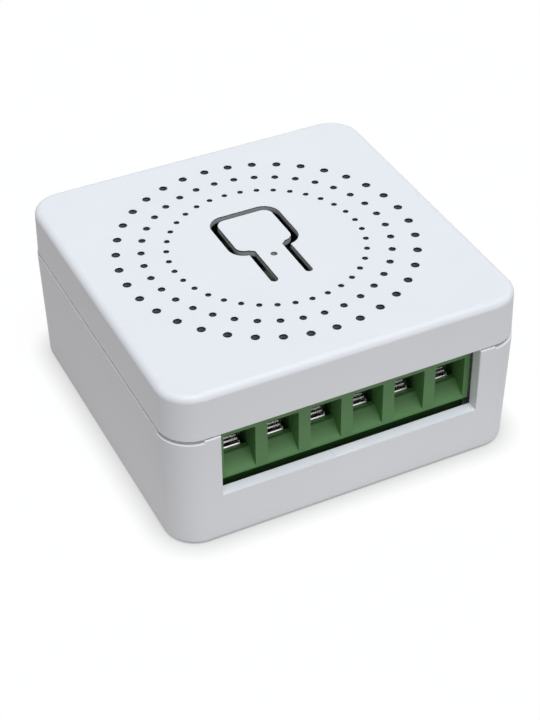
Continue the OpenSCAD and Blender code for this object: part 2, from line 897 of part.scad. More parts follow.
// The bobbin around the core's middle leg, with a foot on each side that stands on the board
module transformer_bobbin() {
    tube_in = [core_leg + 2 * window_slack, core_d_y + 2 * window_slack];
    tube_out = tube_in + 2 * bobbin_tube_t * [1, 1];
    flange = tube_out + 2 * winding_t * flange_fill;
    low_z = core_top_z - core_h + core_yoke + window_slack;
    high_z = core_top_z - core_yoke - window_slack;
    color(dark_plastic)
        difference() {
            union() {
                transformer_box([tube_out[0], tube_out[1], high_z - low_z], low_z);
                for (z = [low_z, high_z - bobbin_flange_t])
                    transformer_box([flange[0], flange[1], bobbin_flange_t], z);
                for (side = [-1, 1]) {
                    foot_at = transformer_at + [0, side * foot_w / 2];
                    block_at(foot_at, [core_wide, foot_t, foot_h], board_z - foot_h);
                    block_at(
                        foot_at - [0, side * foot_t / 4],
                        [flange[0], foot_t / 2, board_z - high_z + bobbin_flange_t],
                        high_z - bobbin_flange_t
                    );
                }
            }
            transformer_box([tube_in[0], tube_in[1], core_h], low_z - past);
            for (at = transformer_pin_points)
                lead(at, board_z - foot_h - past, board_z + past, lead_d + 2 * window_slack);
        }
}

module transformer_winding() {
    inner = [core_leg, core_d_y] + 2 * (2 * window_slack + bobbin_tube_t) * [1, 1];
    outer = inner + 2 * winding_t * winding_fill;
    low_z = core_top_z - core_h + core_yoke + 2 * window_slack + bobbin_flange_t;
    high_z = core_top_z - core_yoke - 2 * window_slack - bobbin_flange_t;
    color(copper)
        translate([transformer_at[0], transformer_at[1], low_z])
            linear_extrude(high_z - low_z)
                difference() {
                    rounded_square(outer[0], outer[1], winding_t / 2);
                    square(inner, center = true);
                }
}

module transformer_pins() {
    color(bright_metal)
        for (at = transformer_pin_points)
            lead(at, board_z - foot_h, lead_end_z);
}

// An electrolytic can hung under the board, with a groove near its leads
module can_capacitor(at, d, h, lead_gap) {
    groove_z = board_z - can_groove_drop;
    translate([at[0], at[1], 0])
        rotate_extrude()
            polygon([
                [0, board_z - h], [d / 2 - can_rim_r, board_z - h], [d / 2, board_z - h + can_rim_r],
                [d / 2, groove_z - can_rim_r], [d / 2 - can_groove, groove_z],
                [d / 2, groove_z + can_rim_r],
                [d / 2, board_z - can_rim_r], [d / 2 - can_rim_r, board_z], [0, board_z],
            ]);
    for (p = pair(at, lead_gap, along_y))
        lead(p, board_z - can_rim_r, lead_end_z);
}

module bulk_capacitor() {
    color("dimgray")
        can_capacitor(bulk_at, bulk_dia, bulk_h, bulk_lead_gap);
}

module output_capacitor() {
    color("dimgray")
        can_capacitor(output_at, output_dia, output_h, output_lead_gap);
}

module varistor() {
    color("royalblue") {
        translate([varistor_at[0], varistor_at[1] + varistor_t / 2, varistor_z])
            rotate([90, 0, 0])
                cylinder(d = varistor_dia, h = varistor_t);
        for (p = pair(varistor_at, varistor_lead_gap, along_x))
            lead(p, varistor_z, lead_end_z);
    }
}

module fuse_resistor() {
    wire_l = fuse_lead_gap + lead_d;
    color("tan") {
        translate([fuse_at[0] - fuse_l / 2, fuse_at[1], fuse_z])
            rotate([0, 90, 0])
                cylinder(d = fuse_d, h = fuse_l);
        block_at(fuse_at, [wire_l, lead_d, lead_d], fuse_z - lead_d / 2);
        for (p = pair(fuse_at, fuse_lead_gap, along_x))
            lead(p, fuse_z, lead_end_z);
    }
}

module choke() {
    low_z = board_z - choke_h;
    color(ferrite) {
        lead(choke_at, low_z, low_z + choke_flange_t, choke_d);
        lead(choke_at, low_z, board_z, choke_drum_d);
        lead(choke_at, board_z - choke_flange_t, board_z, choke_d);
        for (p = pair(choke_at, choke_lead_gap, along_y))
            lead(p, board_z - choke_flange_t, lead_end_z);
    }
}

module radio_board() {
    color(board_green)
        translate([radio_x, radio_y - radio_len / 2, radio_z])
            cube([radio_t, radio_len, radio_h]);
}

module radio_shield() {
    color(bright_metal)
        difference() {
            translate([radio_x - shield_d, radio_y - shield_l / 2, shield_z])
                cube([shield_d, shield_l, shield_h]);
            translate([radio_x - shield_d, radio_y - shield_l / 2, shield_z] + shield_t * [1, 1, 1])
                cube([shield_d, shield_l - 2 * shield_t, shield_h - 2 * shield_t]);
        }
}

module radio_chip() {
    color(dark_plastic)
        translate([radio_x - chip_t, radio_y - chip_w / 2, shield_z + (shield_h - chip_w) / 2])
            cube([chip_t, chip_w, chip_w]);
}

module radio_pins() {
    foot_z = board_z - radio_pin_drop;
    color(bright_metal)
        for (at = radio_pin_points)
            block_at(at, [radio_pin_w, radio_pin_w, lead_end_z - foot_z], foot_z);
}

module bridge_rectifier() {
    color(dark_plastic)
        chip(bridge_at, bridge_size, 2, bridge_pitch, bridge_reach);
}

module converter_chip() {
    color(dark_plastic)
        chip(converter_at, converter_size, 4, converter_pitch, converter_reach, turn = 90);
}

module optocoupler() {
    color(dark_plastic)
        chip(opto_at, opto_size, 2, opto_pitch, opto_reach);
}

module regulator() {
    color(dark_plastic)
        chip(regulator_at, regulator_size, 3, regulator_pitch, regulator_reach);
}

module relay_driver() {
    color(dark_plastic)
        chip(driver_at, driver_size, 2, driver_pitch, driver_reach);
}

module flyback_diode() {
    color(dark_plastic)
        chip(diode_at, diode_size, 1, 0, diode_reach, turn = 90);
}

module chip_resistors() {
    color(dark_plastic)
        for (at = resistor_places)
            block_at(layout * at, laid_out(resistor_size), board_top_z);
}

module chip_capacitors() {
    color("tan")
        for (at = capacitor_places)
            block_at(layout * at, laid_out(capacitor_size), board_top_z);
}

module tact_switch_body() {
    body_top_z = board_top_z + switch_h;
    bore_z = body_top_z - plunger_seat - plunger_travel - nub_gap;
    color(dark_plastic)
        difference() {
            block_at([0, head_y], [switch_w, switch_w, switch_h], board_top_z);
            lead([0, head_y], bore_z, body_top_z + past, plunger_d + 2 * plunger_clear);
        }
}

module tact_plunger() {
    body_top_z = board_top_z + switch_h;
    color("ivory")
        lead([0, head_y], body_top_z - plunger_seat, body_top_z + plunger_rise, plunger_d);
}

// A domed light on two leads, just under the hole in the button's neck
module status_led() {
    dome_z = board_top_z + led_h - led_d / 2;
    color("whitesmoke") {
        lead([0, light_y], board_top_z, board_top_z + led_flange_h, led_flange_d);
        lead([0, light_y], board_top_z, dome_z, led_d);
        translate([0, light_y, dome_z])
            rotate_extrude()
                intersection() {
                    circle(d = led_d);
                    square(led_d);
                }
        for (p = pair([0, light_y], led_lead_gap, along_x))
            lead(p, board_z, board_top_z + led_flange_h / 2);
    }
}

lower_case();
upper_case();
button_tongue();
main_board();
terminal_housing();
for (i = [1:terminals]) {
    terminal_cage(i);
    terminal_screw(i);
    terminal_contact(i);
}
relay_cover();
relay_base();
relay_bobbin();
relay_winding();
relay_yoke();
relay_armature();
relay_contacts();
transformer_core();
transformer_bobbin();
transformer_winding();
transformer_pins();
bulk_capacitor();
output_capacitor();
varistor();
fuse_resistor();
choke();
radio_board();
radio_shield();
radio_chip();
radio_pins();
bridge_rectifier();
converter_chip();
optocoupler();
regulator();
relay_driver();
flyback_diode();
chip_resistors();
chip_capacitors();
tact_switch_body();
tact_plunger();
status_led();
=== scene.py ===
"""Looks of a smart relay module for a wall box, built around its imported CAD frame.

Sizes in the classes are in millimetres, in the frame of the part: X runs along the terminal face, Y to the
back and Z up from the middle of the underside. Each finished mesh is brought to metres.
"""

import json
import logging
import math
from collections.abc import Callable, Sequence
from dataclasses import dataclass, field
from enum import Enum

import bmesh
import bpy
from mathutils import Matrix, Vector


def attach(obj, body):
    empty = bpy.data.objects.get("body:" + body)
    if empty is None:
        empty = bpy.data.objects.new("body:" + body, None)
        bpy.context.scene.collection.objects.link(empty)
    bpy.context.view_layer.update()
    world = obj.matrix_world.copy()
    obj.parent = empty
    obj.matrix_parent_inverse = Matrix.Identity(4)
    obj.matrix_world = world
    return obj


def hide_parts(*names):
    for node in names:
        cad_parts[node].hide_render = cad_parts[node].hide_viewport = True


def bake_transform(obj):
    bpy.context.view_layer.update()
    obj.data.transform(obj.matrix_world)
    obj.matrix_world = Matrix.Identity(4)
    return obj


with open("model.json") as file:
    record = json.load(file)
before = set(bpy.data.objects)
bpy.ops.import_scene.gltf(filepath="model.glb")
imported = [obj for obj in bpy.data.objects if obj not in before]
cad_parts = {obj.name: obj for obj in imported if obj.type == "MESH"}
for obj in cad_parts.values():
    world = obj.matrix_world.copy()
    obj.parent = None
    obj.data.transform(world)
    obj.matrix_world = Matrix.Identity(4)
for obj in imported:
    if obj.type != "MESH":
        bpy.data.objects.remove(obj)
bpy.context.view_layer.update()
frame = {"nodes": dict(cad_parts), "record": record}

LOG = logging.getLogger("relay_module")
MM = 0.001
# Lengths that differ by less than this count as the same
SAME = 1e-4
# Cutting tools reach this far past what they cut, or half as far, as do welded parts into each other
OVER = 1.0
# A face is level when its normal points up or down by more than this
LEVEL = 0.99
# The middle of a noise's values
MIDDLE = 0.5
Pair = Sequence[float]
Point = tuple[float, float, float]
Plane = tuple[Point, Point]
Colour = tuple[float, float, float]
Stops = Sequence[tuple[float, Colour]]
Test = Callable[[Vector, Vector], bool]


class Body(Enum):
    """CAD bodies for the new pieces to ride on, besides the cages and screws; of these, only the case carries
    any.
    """

    CASE = "case"
    BUTTON = "button"


class Slot(Enum):
    """Material slots of the record that the new pieces take."""

    CASE = "case_plastic"
    BLOCK = "block_plastic"
    CAGE = "cage_steel"
    SCREW = "screw_steel"
    TINNED = "tinned_metal"


class Element(Enum):
    """What is selected in a mesh."""

    EDGE = "EDGE"
    FACE = "FACE"


class Boolean(Enum):
    """What a boolean step does with a tool."""

    CUT = "DIFFERENCE"
    WELD = "UNION"


def facing(axis: str, sign: int, least: float = 0.9) -> Test:
    """A test for the faces whose normal points along an axis, by at least so much."""
    return lambda _, normal: sign * getattr(normal, axis) > least


def level_sheet(low: float, high: float) -> Test:
    """A test for the level faces between two heights."""
    return lambda middle, normal: abs(normal.z) > LEVEL and low < middle.z < high


def along(axis: str) -> Test:
    """A test for the edges that run along an axis."""
    across = [other for other in "xyz" if other != axis]
    return lambda a, b: all(abs(getattr(a, other) - getattr(b, other)) < SAME for other in across)


def level_at(z: float) -> Test:
    """A test for the edges that lie at one height."""
    return lambda a, b: abs(a.z - z) < SAME and abs(b.z - z) < SAME


def grid(xs: Sequence[float], ys: Sequence[float]) -> list[Plane]:
    """The upright planes across X, then those across Y, each as a point and a normal."""
    return [((x, 0, 0), (1, 0, 0)) for x in xs] + [((0, y, 0), (0, 1, 0)) for y in ys]


def star(count: int) -> list[Plane]:
    """The upright planes through the Z axis that make an even number of equal sectors."""
    turns = [2 * math.pi * (step + 0.5) / count for step in range(count // 2)]
    return [((0, 0, 0), (-math.sin(turn), math.cos(turn), 0)) for turn in turns]


UP = facing("z", 1)
DOWN = facing("z", -1)
FRONT = facing("y", -1)
BACK = facing("y", 1)


class Piece:
    """A mesh on the bench, in millimetres, with the modelling steps that a maker would take."""

    merge: float = 0.0005
    smooth_deg: float = 35.0

    def __init__(self, thing: bpy.types.Object, name: str) -> None:
        """Take an object and name it."""
        self.thing = thing
        self.thing.name = name

    @classmethod
    def box(cls, name: str, low: Sequence[float], high: Sequence[float]) -> "Piece":
        """Add a box between two corners.

        Args:
            name: The object's name.
            low: The lowest corner.
            high: The highest corner.

        Returns:
            The new piece.
        """
        bpy.ops.object.select_all(action="DESELECT")
        bpy.ops.mesh.primitive_cube_add(size=1, location=[(a + b) / 2 for a, b in zip(low, high)])
        piece = cls(bpy.context.active_object, name)
        piece.thing.scale = [b - a for a, b in zip(low, high)]
        bpy.ops.object.transform_apply(location=True, rotation=True, scale=True)
        return piece

    @classmethod
    def rod(cls, name: str, at: Pair, z0: float, z1: float, radius: float,
            sides: int = 32) -> "Piece":
        """Add an upright round rod.

        Args:
            name: The object's name.
            at: The place of its axis, in plan.
            z0: The height of its lower end.
            z1: The height of its upper end.
            radius: Its radius.
            sides: How many flat sides stand for the round one.

        Returns:
            The new piece.
        """
        bpy.ops.object.select_all(action="DESELECT")
        bpy.ops.mesh.primitive_cylinder_add(
            vertices=sides, radius=radius, depth=z1 - z0, location=(at[0], at[1], (z0 + z1) / 2))
        piece = cls(bpy.context.active_object, name)
        bpy.ops.object.transform_apply(location=True, rotation=True, scale=True)
        return piece

    @classmethod
    def rounded(cls, name: str, half: Pair, radius: float, z0: float, z1: float,
                middle: Pair = (0, 0), steps: int = 12) -> "Piece":
        """Add a box with round upright corners.

        Args:
            name: The object's name.
            half: Half its width and half its length.
            radius: The corners' radius.
            z0: The height of its underside.
            z1: The height of its top.
            middle: The place of its axis, in plan.
            steps: How many faces make a corner.

        Returns:
            The new piece.
        """
        low = (middle[0] - half[0], middle[1] - half[1], z0)
        high = (middle[0] + half[0], middle[1] + half[1], z1)
        return cls.box(name, low, high).bevel(along("z"), radius, steps)

    def pick(self) -> None:
        """Make the object the only selected one, and active."""
        bpy.ops.object.select_all(action="DESELECT")
        self.thing.select_set(True)
        bpy.context.view_layer.objects.active = self.thing

    def _open(self, kind: Element = Element.FACE, whole: bool = True) -> None:
        """Open the mesh, with all of it selected or none.

        Args:
            kind: What is selected in it.
            whole: Whether all of it is selected.
        """
        self.pick()
        bpy.ops.object.mode_set(mode="EDIT")
        bpy.ops.mesh.select_mode(type=kind.value)
        bpy.ops.mesh.select_all(action="SELECT" if whole else "DESELECT")

    def _choose(self, kind: Element, test: Test) -> int:
        """Open the mesh and select the edges or faces that pass a test.

        Args:
            kind: Whether edges or faces are selected.
            test: Takes an edge's two ends, or a face's middle and normal.

        Returns:
            How many are selected.
        """
        self._open(kind, whole=False)
        mesh = bmesh.from_edit_mesh(self.thing.data)
        if kind is Element.EDGE:
            chosen = [edge for edge in mesh.edges if test(edge.verts[0].co, edge.verts[1].co)]
        else:
            chosen = [face for face in mesh.faces if test(face.calc_center_median(), face.normal)]
        for element in chosen:
            element.select_set(True)
        bmesh.update_edit_mesh(self.thing.data)
        return len(chosen)

    def _close(self) -> "Piece":
        """Leave edit mode."""
        bpy.ops.object.mode_set(mode="OBJECT")
        return self

    def bevel(self, test: Test, width: float, steps: int) -> "Piece":
        """Round or chamfer the edges whose ends pass a test.

        Args:
            test: Takes an edge's two ends.
            width: The radius of the rounding.
            steps: How many faces make the rounding.

        Returns:
            The same piece.
        """
        if self._choose(Element.EDGE, test):
            bpy.ops.mesh.bevel(offset=width, offset_type="OFFSET", segments=steps, affect="EDGES")
        return self._close()

    def break_edges(self, width: float, sharp_deg: float, **settings: object) -> "Piece":
        """Round all edges that turn by more than an angle, with the modifier's other settings."""
        return self.modify("BEVEL", width=width, segments=2, limit_method="ANGLE",
                           angle_limit=math.radians(sharp_deg), **settings)

    def move_faces(self, test: Test, shift: Point | None, grow: Point = (1, 1, 1),
                   centre: Point = (0, 0, 0)) -> "Piece":
        """Extrude the faces that pass a test, if there is a shift, and scale them about a point.

        Args:
            test: Takes a face's middle and normal.
            shift: How far the new faces move.
            grow: The factors that scale the faces.
            centre: The point that they are scaled about.

        Returns:
            The same piece.
        """
        self._choose(Element.FACE, test)
        if shift:
            bpy.ops.mesh.extrude_region_move(TRANSFORM_OT_translate={"value": shift})
        bpy.ops.transform.resize(value=grow, center_override=centre)
        return self._close()

    def flare(self, end: Test, shift: Point, grow: Point, centre: Point, past: Point) -> "Piece":
        """Extrude one end while it widens or narrows about a point, then carry it straight on."""
        return self.move_faces(end, shift, grow, centre).move_faces(end, past)

    def modify(self, kind: str, **settings: object) -> "Piece":
        """Add a modifier and apply it.

        Args:
            kind: The modifier's type.
            settings: The modifier's own settings.

        Returns:
            The same piece.
        """
        self.pick()
        step = self.thing.modifiers.new(kind.lower(), kind)
        for name, value in settings.items():
            setattr(step, name, value)
        bpy.ops.object.modifier_apply(modifier=step.name)
        return self

    def cut(self, *tools: "Piece", how: Boolean = Boolean.CUT) -> "Piece":
        """Cut tools out of the piece, or weld them to it; they are used up.

        Args:
            tools: The closed meshes to work with.
            how: What is done with them.

        Returns:
            The same piece.
        """
        for tool in tools:
            self.modify("BOOLEAN", operation=how.value, solver="EXACT", object=tool.thing)
            bpy.data.objects.remove(tool.thing)
        return self

    def weld(self, *pieces: "Piece") -> "Piece":
        """Weld other pieces to this one; they are used up."""
        return self.cut(*pieces, how=Boolean.WELD)

    def copy(self, name: str, shift: Point) -> "Piece":
        """Copy the piece with a mesh of its own, and shift the copy.

        Args:
            name: The copy's name.
            shift: How far the copy stands from the first one.

        Returns:
            The copy.
        """
        self.pick()
        bpy.ops.object.duplicate(linked=False)
        twin = Piece(bpy.context.active_object, name)
        bpy.ops.transform.translate(value=shift)
        bpy.ops.object.transform_apply(location=True, rotation=False, scale=False)
        return twin

    def ring(self, count: int) -> "Piece":
        """Repeat the mesh evenly round the Z axis.

        Args:
            count: How many stand in the ring.

        Returns:
            The same piece.
        """
        self._open()
        turn = 2 * math.pi * (count - 1) / count
        bpy.ops.mesh.spin(steps=count - 1, dupli=True, angle=turn, center=(0, 0, 0), axis=(0, 0, 1))
        bpy.ops.mesh.select_all(action="SELECT")
        bpy.ops.mesh.normals_make_consistent(inside=False)
        return self._close()

    def part(self, test: Test, planes: Sequence[Plane]) -> "Piece":
        """Part the faces that pass a test along planes, one after the other.

        Args:
            test: Takes a face's middle and normal.
            planes: A point and the normal of each plane.

        Returns:
            The same piece.
        """
        for point, normal in planes:
            self._choose(Element.FACE, test)
            bpy.ops.mesh.bisect(plane_co=point, plane_no=normal)
            self._close()
        return self

    def finish(self) -> "Piece":
        """Merge doubles, smooth the shading below an angle, and bring the mesh to metres.

        Returns:
            The same piece.
        """
        self._open()
        bpy.ops.mesh.remove_doubles(threshold=self.merge)
        self._close()
        bpy.ops.object.shade_smooth_by_angle(angle=math.radians(self.smooth_deg))
        self.modify("WEIGHTED_NORMAL", mode="FACE_AREA", weight=100, keep_sharp=True)
        self.pick()
        bpy.ops.transform.resize(value=(MM, MM, MM), center_override=(0, 0, 0))
        bpy.ops.object.transform_apply(location=True, rotation=True, scale=True)
        return self


class Term:
    """A shader value on which Python's operators add Math nodes."""

    def __init__(self, paint: "Paint", socket: bpy.types.NodeSocket | None) -> None:
        """Keep the paint that the value belongs to, and its socket."""
        self.paint = paint
        self.socket = socket

    def _math(self, operation: str, *values: object) -> "Term":
        """Add a Math node, with a number or a term for each input."""
        return self.paint.node("ShaderNodeMath", {"operation": operation}, dict(enumerate(values)))

    def __add__(self, other: object) -> "Term":
        """Sum."""
        return self._math("ADD", self, other)

    def __sub__(self, other: object) -> "Term":
        """Difference."""
        return self._math("SUBTRACT", self, other)

    def __rsub__(self, other: object) -> "Term":
        """Difference, with a number first."""
        return self._math("SUBTRACT", other, self)

    def __mul__(self, other: object) -> "Term":
        """Product."""
        return self._math("MULTIPLY", self, other)

    def __lt__(self, other: object) -> "Term":
        """1 where the value is smaller, else 0."""
        return self._math("LESS_THAN", self, other)

    def __gt__(self, other: object) -> "Term":
        """1 where the value is greater, else 0."""
        return self._math("GREATER_THAN", self, other)

    def clamp(self) -> "Term":
        """The value held between 0 and 1."""
        return self.paint.node("ShaderNodeClamp", {}, {0: self})

    __radd__ = __add__
    __rmul__ = __mul__


class Paint:
    """One node material, or the world's, under construction."""

    def __init__(self, owner: str | bpy.types.World) -> None:
        """Start an empty node tree.

        Args:
            owner: The name of a new material, or the world.
        """
        self.owner = bpy.data.materials.new(owner) if isinstance(owner, str) else owner
        self.owner.use_nodes = True
        self.tree = self.owner.node_tree
        self.tree.nodes.clear()

    def node(self, kind: str, settings: dict[str, object], inputs: dict[object, object],
             output: object = 0) -> Term:
        """Add a node, set it up, then set or link its inputs.

        Args:
            kind: The node's type.
            settings: The node's own settings; "stops" are a ramp's places and colours.
            inputs: Socket names or numbers, with values or terms.
            output: The output socket that is returned.

        Returns:
            The output, as a term.
        """
        node = self.tree.nodes.new(kind)
        for name, value in settings.items():
            if name == "stops":
                self._set_stops(node.color_ramp, value)
            else:
                setattr(node, name, value)
        for key, value in inputs.items():
            if isinstance(value, Term):
                self.tree.links.new(value.socket, node.inputs[key])
            else:
                node.inputs[key].default_value = value
        return Term(self, node.outputs[output] if len(node.outputs) else None)

    @staticmethod
    def _set_stops(ramp: bpy.types.ColorRamp, stops: Stops) -> None:
        """Set a ramp's stops.

        Args:
            ramp: The ramp to set.
            stops: Places from 0 to 1, with colours.
        """
        while len(ramp.elements) < len(stops):
            ramp.elements.new(1.0)
        for element, (place, colour) in zip(ramp.elements, stops):
            element.position = place
            element.color = (*colour, 1.0)

    def place(self, stretch: Point = (1, 1, 1)) -> Term:
        """The place on the object in metres, scaled along each axis."""
        coords = self.node("ShaderNodeTexCoord", {}, {}, "Object")
        return self.node("ShaderNodeMapping", {}, {"Vector": coords, "Scale": stretch})

    def noise(self, size_mm: float, detail: float = 2.0, stretch: Point = (1, 1, 1)) -> Term:
        """Soft noise from 0 to 1, with spots of about that size, finer layers and stretched axes."""
        inputs = {"Vector": self.place(stretch), "Scale": 1 / (size_mm * MM), "Detail": detail}
        return self.node("ShaderNodeTexNoise", {}, inputs)

    def ramp(self, value: Term, *stops: tuple[float, Colour]) -> Term:
        """Colours along a value, at places from 0 to 1."""
        return self.node("ShaderNodeValToRGB", {"stops": stops}, {"Fac": value})

    def axes(self, vector: Term) -> list[Term]:
        """The X, Y and Z of a vector."""
        return [self.node("ShaderNodeSeparateXYZ", {}, {0: vector}, axis) for axis in "XYZ"]

    def blend(self, mask: Term, first: object, second: object) -> Term:
        """The first colour or term where a mask is 0, and the second where it is 1."""
        # Inputs 6 and 7 of this node take the colours, and its output 2 gives the blend
        return self.node("ShaderNodeMix", {"data_type": "RGBA"}, {0: mask, 6: first, 7: second}, 2)

    def scaled(self, value: Term, ends: Pair, to: Pair = (0, 1)) -> Term:
        """A value brought from the range between two ends to another range, and held there."""
        inputs = {"Value": value, "From Min": ends[0], "From Max": ends[1], "To Min": to[0], "To Max": to[1]}
        return self.node("ShaderNodeMapRange", {}, inputs)

    def shown(self) -> Term:
        """1 for rays that show a thing, straight, mirrored or through glass, and 0 for those that light."""
        rays = [self.node("ShaderNodeLightPath", {}, {}, f"Is {kind} Ray")
                for kind in ("Camera", "Glossy", "Transmission")]
        return (rays[0] + rays[1] + rays[2]).clamp()

    def bump(self, height: Term, depth_mm: float, strength: float = 1.0) -> Term:
        """The normal of a relief that is so deep, of which so much shows."""
        inputs = {"Strength": strength, "Distance": depth_mm * MM, "Height": height}
        return self.node("ShaderNodeBump", {}, inputs)

    def close(self, **inputs: object) -> bpy.types.Material:
        """Add the surface shader and the output.

        Args:
            inputs: The shader's inputs, with underscores for the spaces in their names.

        Returns:
            The finished material.
        """
        named = {key.replace("_", " "): value for key, value in inputs.items()}
        shader = self.node("ShaderNodeBsdfPrincipled", {}, named)
        self.node("ShaderNodeOutputMaterial", {}, {"Surface": shader})
        return self.owner


def shade(colour: Colour, factor: float) -> Colour:
    """A linear colour made lighter or darker by a factor, at most white."""
    return tuple(min(1.0, part * factor) for part in colour)


@dataclass(frozen=True)
class Moulding:
    """Moulded plastic: a fine eroded grain, faint clouding and an uneven gloss."""

    name: str
    colour: Colour
    roughness: float = 0.5
    gloss_spread: float = 0.12
    grain_mm: float = 0.12
    grain_depth_mm: float = 0.006
    grain_shown: float = 0.6
    cloud_mm: float = 6.0
    cloud_detail: float = 3.0
    cloud_share: float = 0.6
    contrast: float = 0.02
    contrast_ends: Pair = (0.25, 0.75)
    streak: Point = (1, 1, 1)

    def make(self) -> bpy.types.Material:
        """Build the material.

        Returns:
            The finished material.
        """
        paint = Paint(self.name)
        grain = paint.noise(self.grain_mm, stretch=self.streak)
        cloud = paint.noise(self.cloud_mm, self.cloud_detail)
        mix = (self.cloud_share * cloud + (1 - self.cloud_share) * grain).clamp()
        low, high = self.contrast_ends
        tint = paint.ramp(mix, (low, shade(self.colour, 1 - self.contrast)),
                          (high, shade(self.colour, 1 + self.contrast)))
        gloss = self.roughness + self.gloss_spread * (cloud - MIDDLE) + self.gloss_spread * (grain - MIDDLE)
        # Painted shade from subclasses, where they have any, goes into the colour here
        tint, gloss = self.mark(paint, tint, gloss)
        return paint.close(Base_Color=tint, Roughness=gloss.clamp(),
                           Normal=paint.bump(grain, self.grain_depth_mm, self.grain_shown))

    def mark(self, paint: Paint, tint: Term, gloss: Term) -> tuple[Term, Term]:
        """The colour and roughness with the finish's painted shade, of which a plain moulding has none."""
        return tint, gloss


@dataclass(frozen=True)
class CaseMoulding(Moulding):
    """The case's moulding, with painted shade that darkens the walls of its vents and button slot, as the
    photograph shows them.
    """

    # Painted shade for the walls of the slot, the vents and the light hole, as tones by height up the wall
    slot_painted_shade: Stops = ((0.0, (0.4, 0.41, 0.42)), (0.65, (0.55, 0.56, 0.57)), (0.82, (0.05, 0.05, 0.052)))
    vent_painted_shade: Stops = ((0.0, (0.12, 0.12, 0.125)), (0.5, (0.22, 0.22, 0.23)), (0.66, (0.02, 0.02, 0.021)))
    light_hole_painted_shade: Stops = ((0.15, (0.8, 0.8, 0.81)), (0.55, (0.5, 0.5, 0.51)), (0.9, (0.14, 0.14, 0.145)))
    slot_reach_mm: float = 9.5
    wall_reach_mm: float = 17.4
    light_y_mm: float = -1.85
    light_reach_mm: float = 0.7
    wall_z_mm: Pair = (19.3, 20.0)
    below_mm: float = 0.5
    steep: float = 0.25

    def mark(self, paint: Paint, tint: Term, gloss: Term) -> tuple[Term, Term]:
        """Makes the upright walls near the middle of the top dull, with painted shade that is black near the
        rim and greyer deeper down, lighter on the walls of the light hole.

        Args:
            paint: The material under construction.
            tint: The moulding's colour.
            gloss: The moulding's roughness.

        Returns:
            The marked colour and roughness.
        """
        x, y, z = paint.axes(paint.place())
        _, _, rise = paint.axes(paint.node("ShaderNodeNewGeometry", {}, {}, "True Normal"))
        off = y - self.light_y_mm * MM
        near = x * x + y * y < (self.wall_reach_mm * MM) ** 2
        light = x * x + off * off < (self.light_reach_mm * MM) ** 2
        slot = x * x + y * y < (self.slot_reach_mm * MM) ** 2
        low, high = self.wall_z_mm
        # The walls that take the painted shade
        painted_shade_wall = near * (z > (low - self.below_mm) * MM) * (rise * rise < self.steep)
        height = paint.scaled(z, (low * MM, high * MM))
        # Painted shade by height, chosen by which hole the wall belongs to
        painted_tone = paint.blend(slot, paint.ramp(height, *self.vent_painted_shade), paint.ramp(height, *self.slot_painted_shade))
        painted_tone = paint.blend(light, painted_tone, paint.ramp(height, *self.light_hole_painted_shade))
        return paint.blend(painted_shade_wall, tint, painted_tone), gloss + (1 - gloss) * painted_shade_wall


@dataclass(frozen=True)
class BlockMoulding(Moulding):
    """The terminal block's moulding, with painted shade that makes it nearly black in its recesses, as the
    photograph shows them.
    """

    # How far the painted shade darkens the colour in the recesses
    recess_shade: float = 0.4
    lip_low_mm: float = 6.9
    cavity_mm: float = -16.85

    def mark(self, paint: Paint, tint: Term, gloss: Term) -> tuple[Term, Term]:
        """The colour with painted shade under the lip and behind the funnels, and the roughness as it was."""
        _, y, z = paint.axes(paint.place())
        # Painted shade: the colour darkened below the lip and behind the funnels
        return paint.blend(((z < self.lip_low_mm * MM) + (y > self.cavity_mm * MM)).clamp(), tint,
                           (*shade(self.colour, self.recess_shade), 1.0)), gloss


@dataclass(frozen=True)
class Plating:
    """Bright plated metal with fine drawing lines and dull spots."""

    name: str
    colour: Colour
    roughness: float = 0.28
    lines: Point = (1, 1, 12)
    line_mm: float = 0.5
    line_detail: float = 4.0
    line_depth_mm: float = 0.004
    line_shown: float = 0.5
    line_gloss: float = 0.25
    spot_mm: float = 0.9
    spot_detail: float = 3.0
    spot_tone: float = 0.86
    spot_ends: Pair = (0.3, 0.7)
    spot_gloss: float = 0.2

    def make(self) -> bpy.types.Material:
        """Build the material.

        Returns:
            The finished material.
        """
        paint = Paint(self.name)
        drawn = paint.noise(self.line_mm, self.line_detail, self.lines)
        spots = paint.noise(self.spot_mm, self.spot_detail)
        low, high = self.spot_ends
        tint = paint.ramp(spots, (low, shade(self.colour, self.spot_tone)), (high, self.colour))
        gloss = self.roughness + self.line_gloss * (drawn - MIDDLE) + self.spot_gloss * (spots - MIDDLE)
        return paint.close(Base_Color=tint, Roughness=gloss.clamp(), Metallic=1.0,
                           Normal=paint.bump(drawn, self.line_depth_mm, self.line_shown))


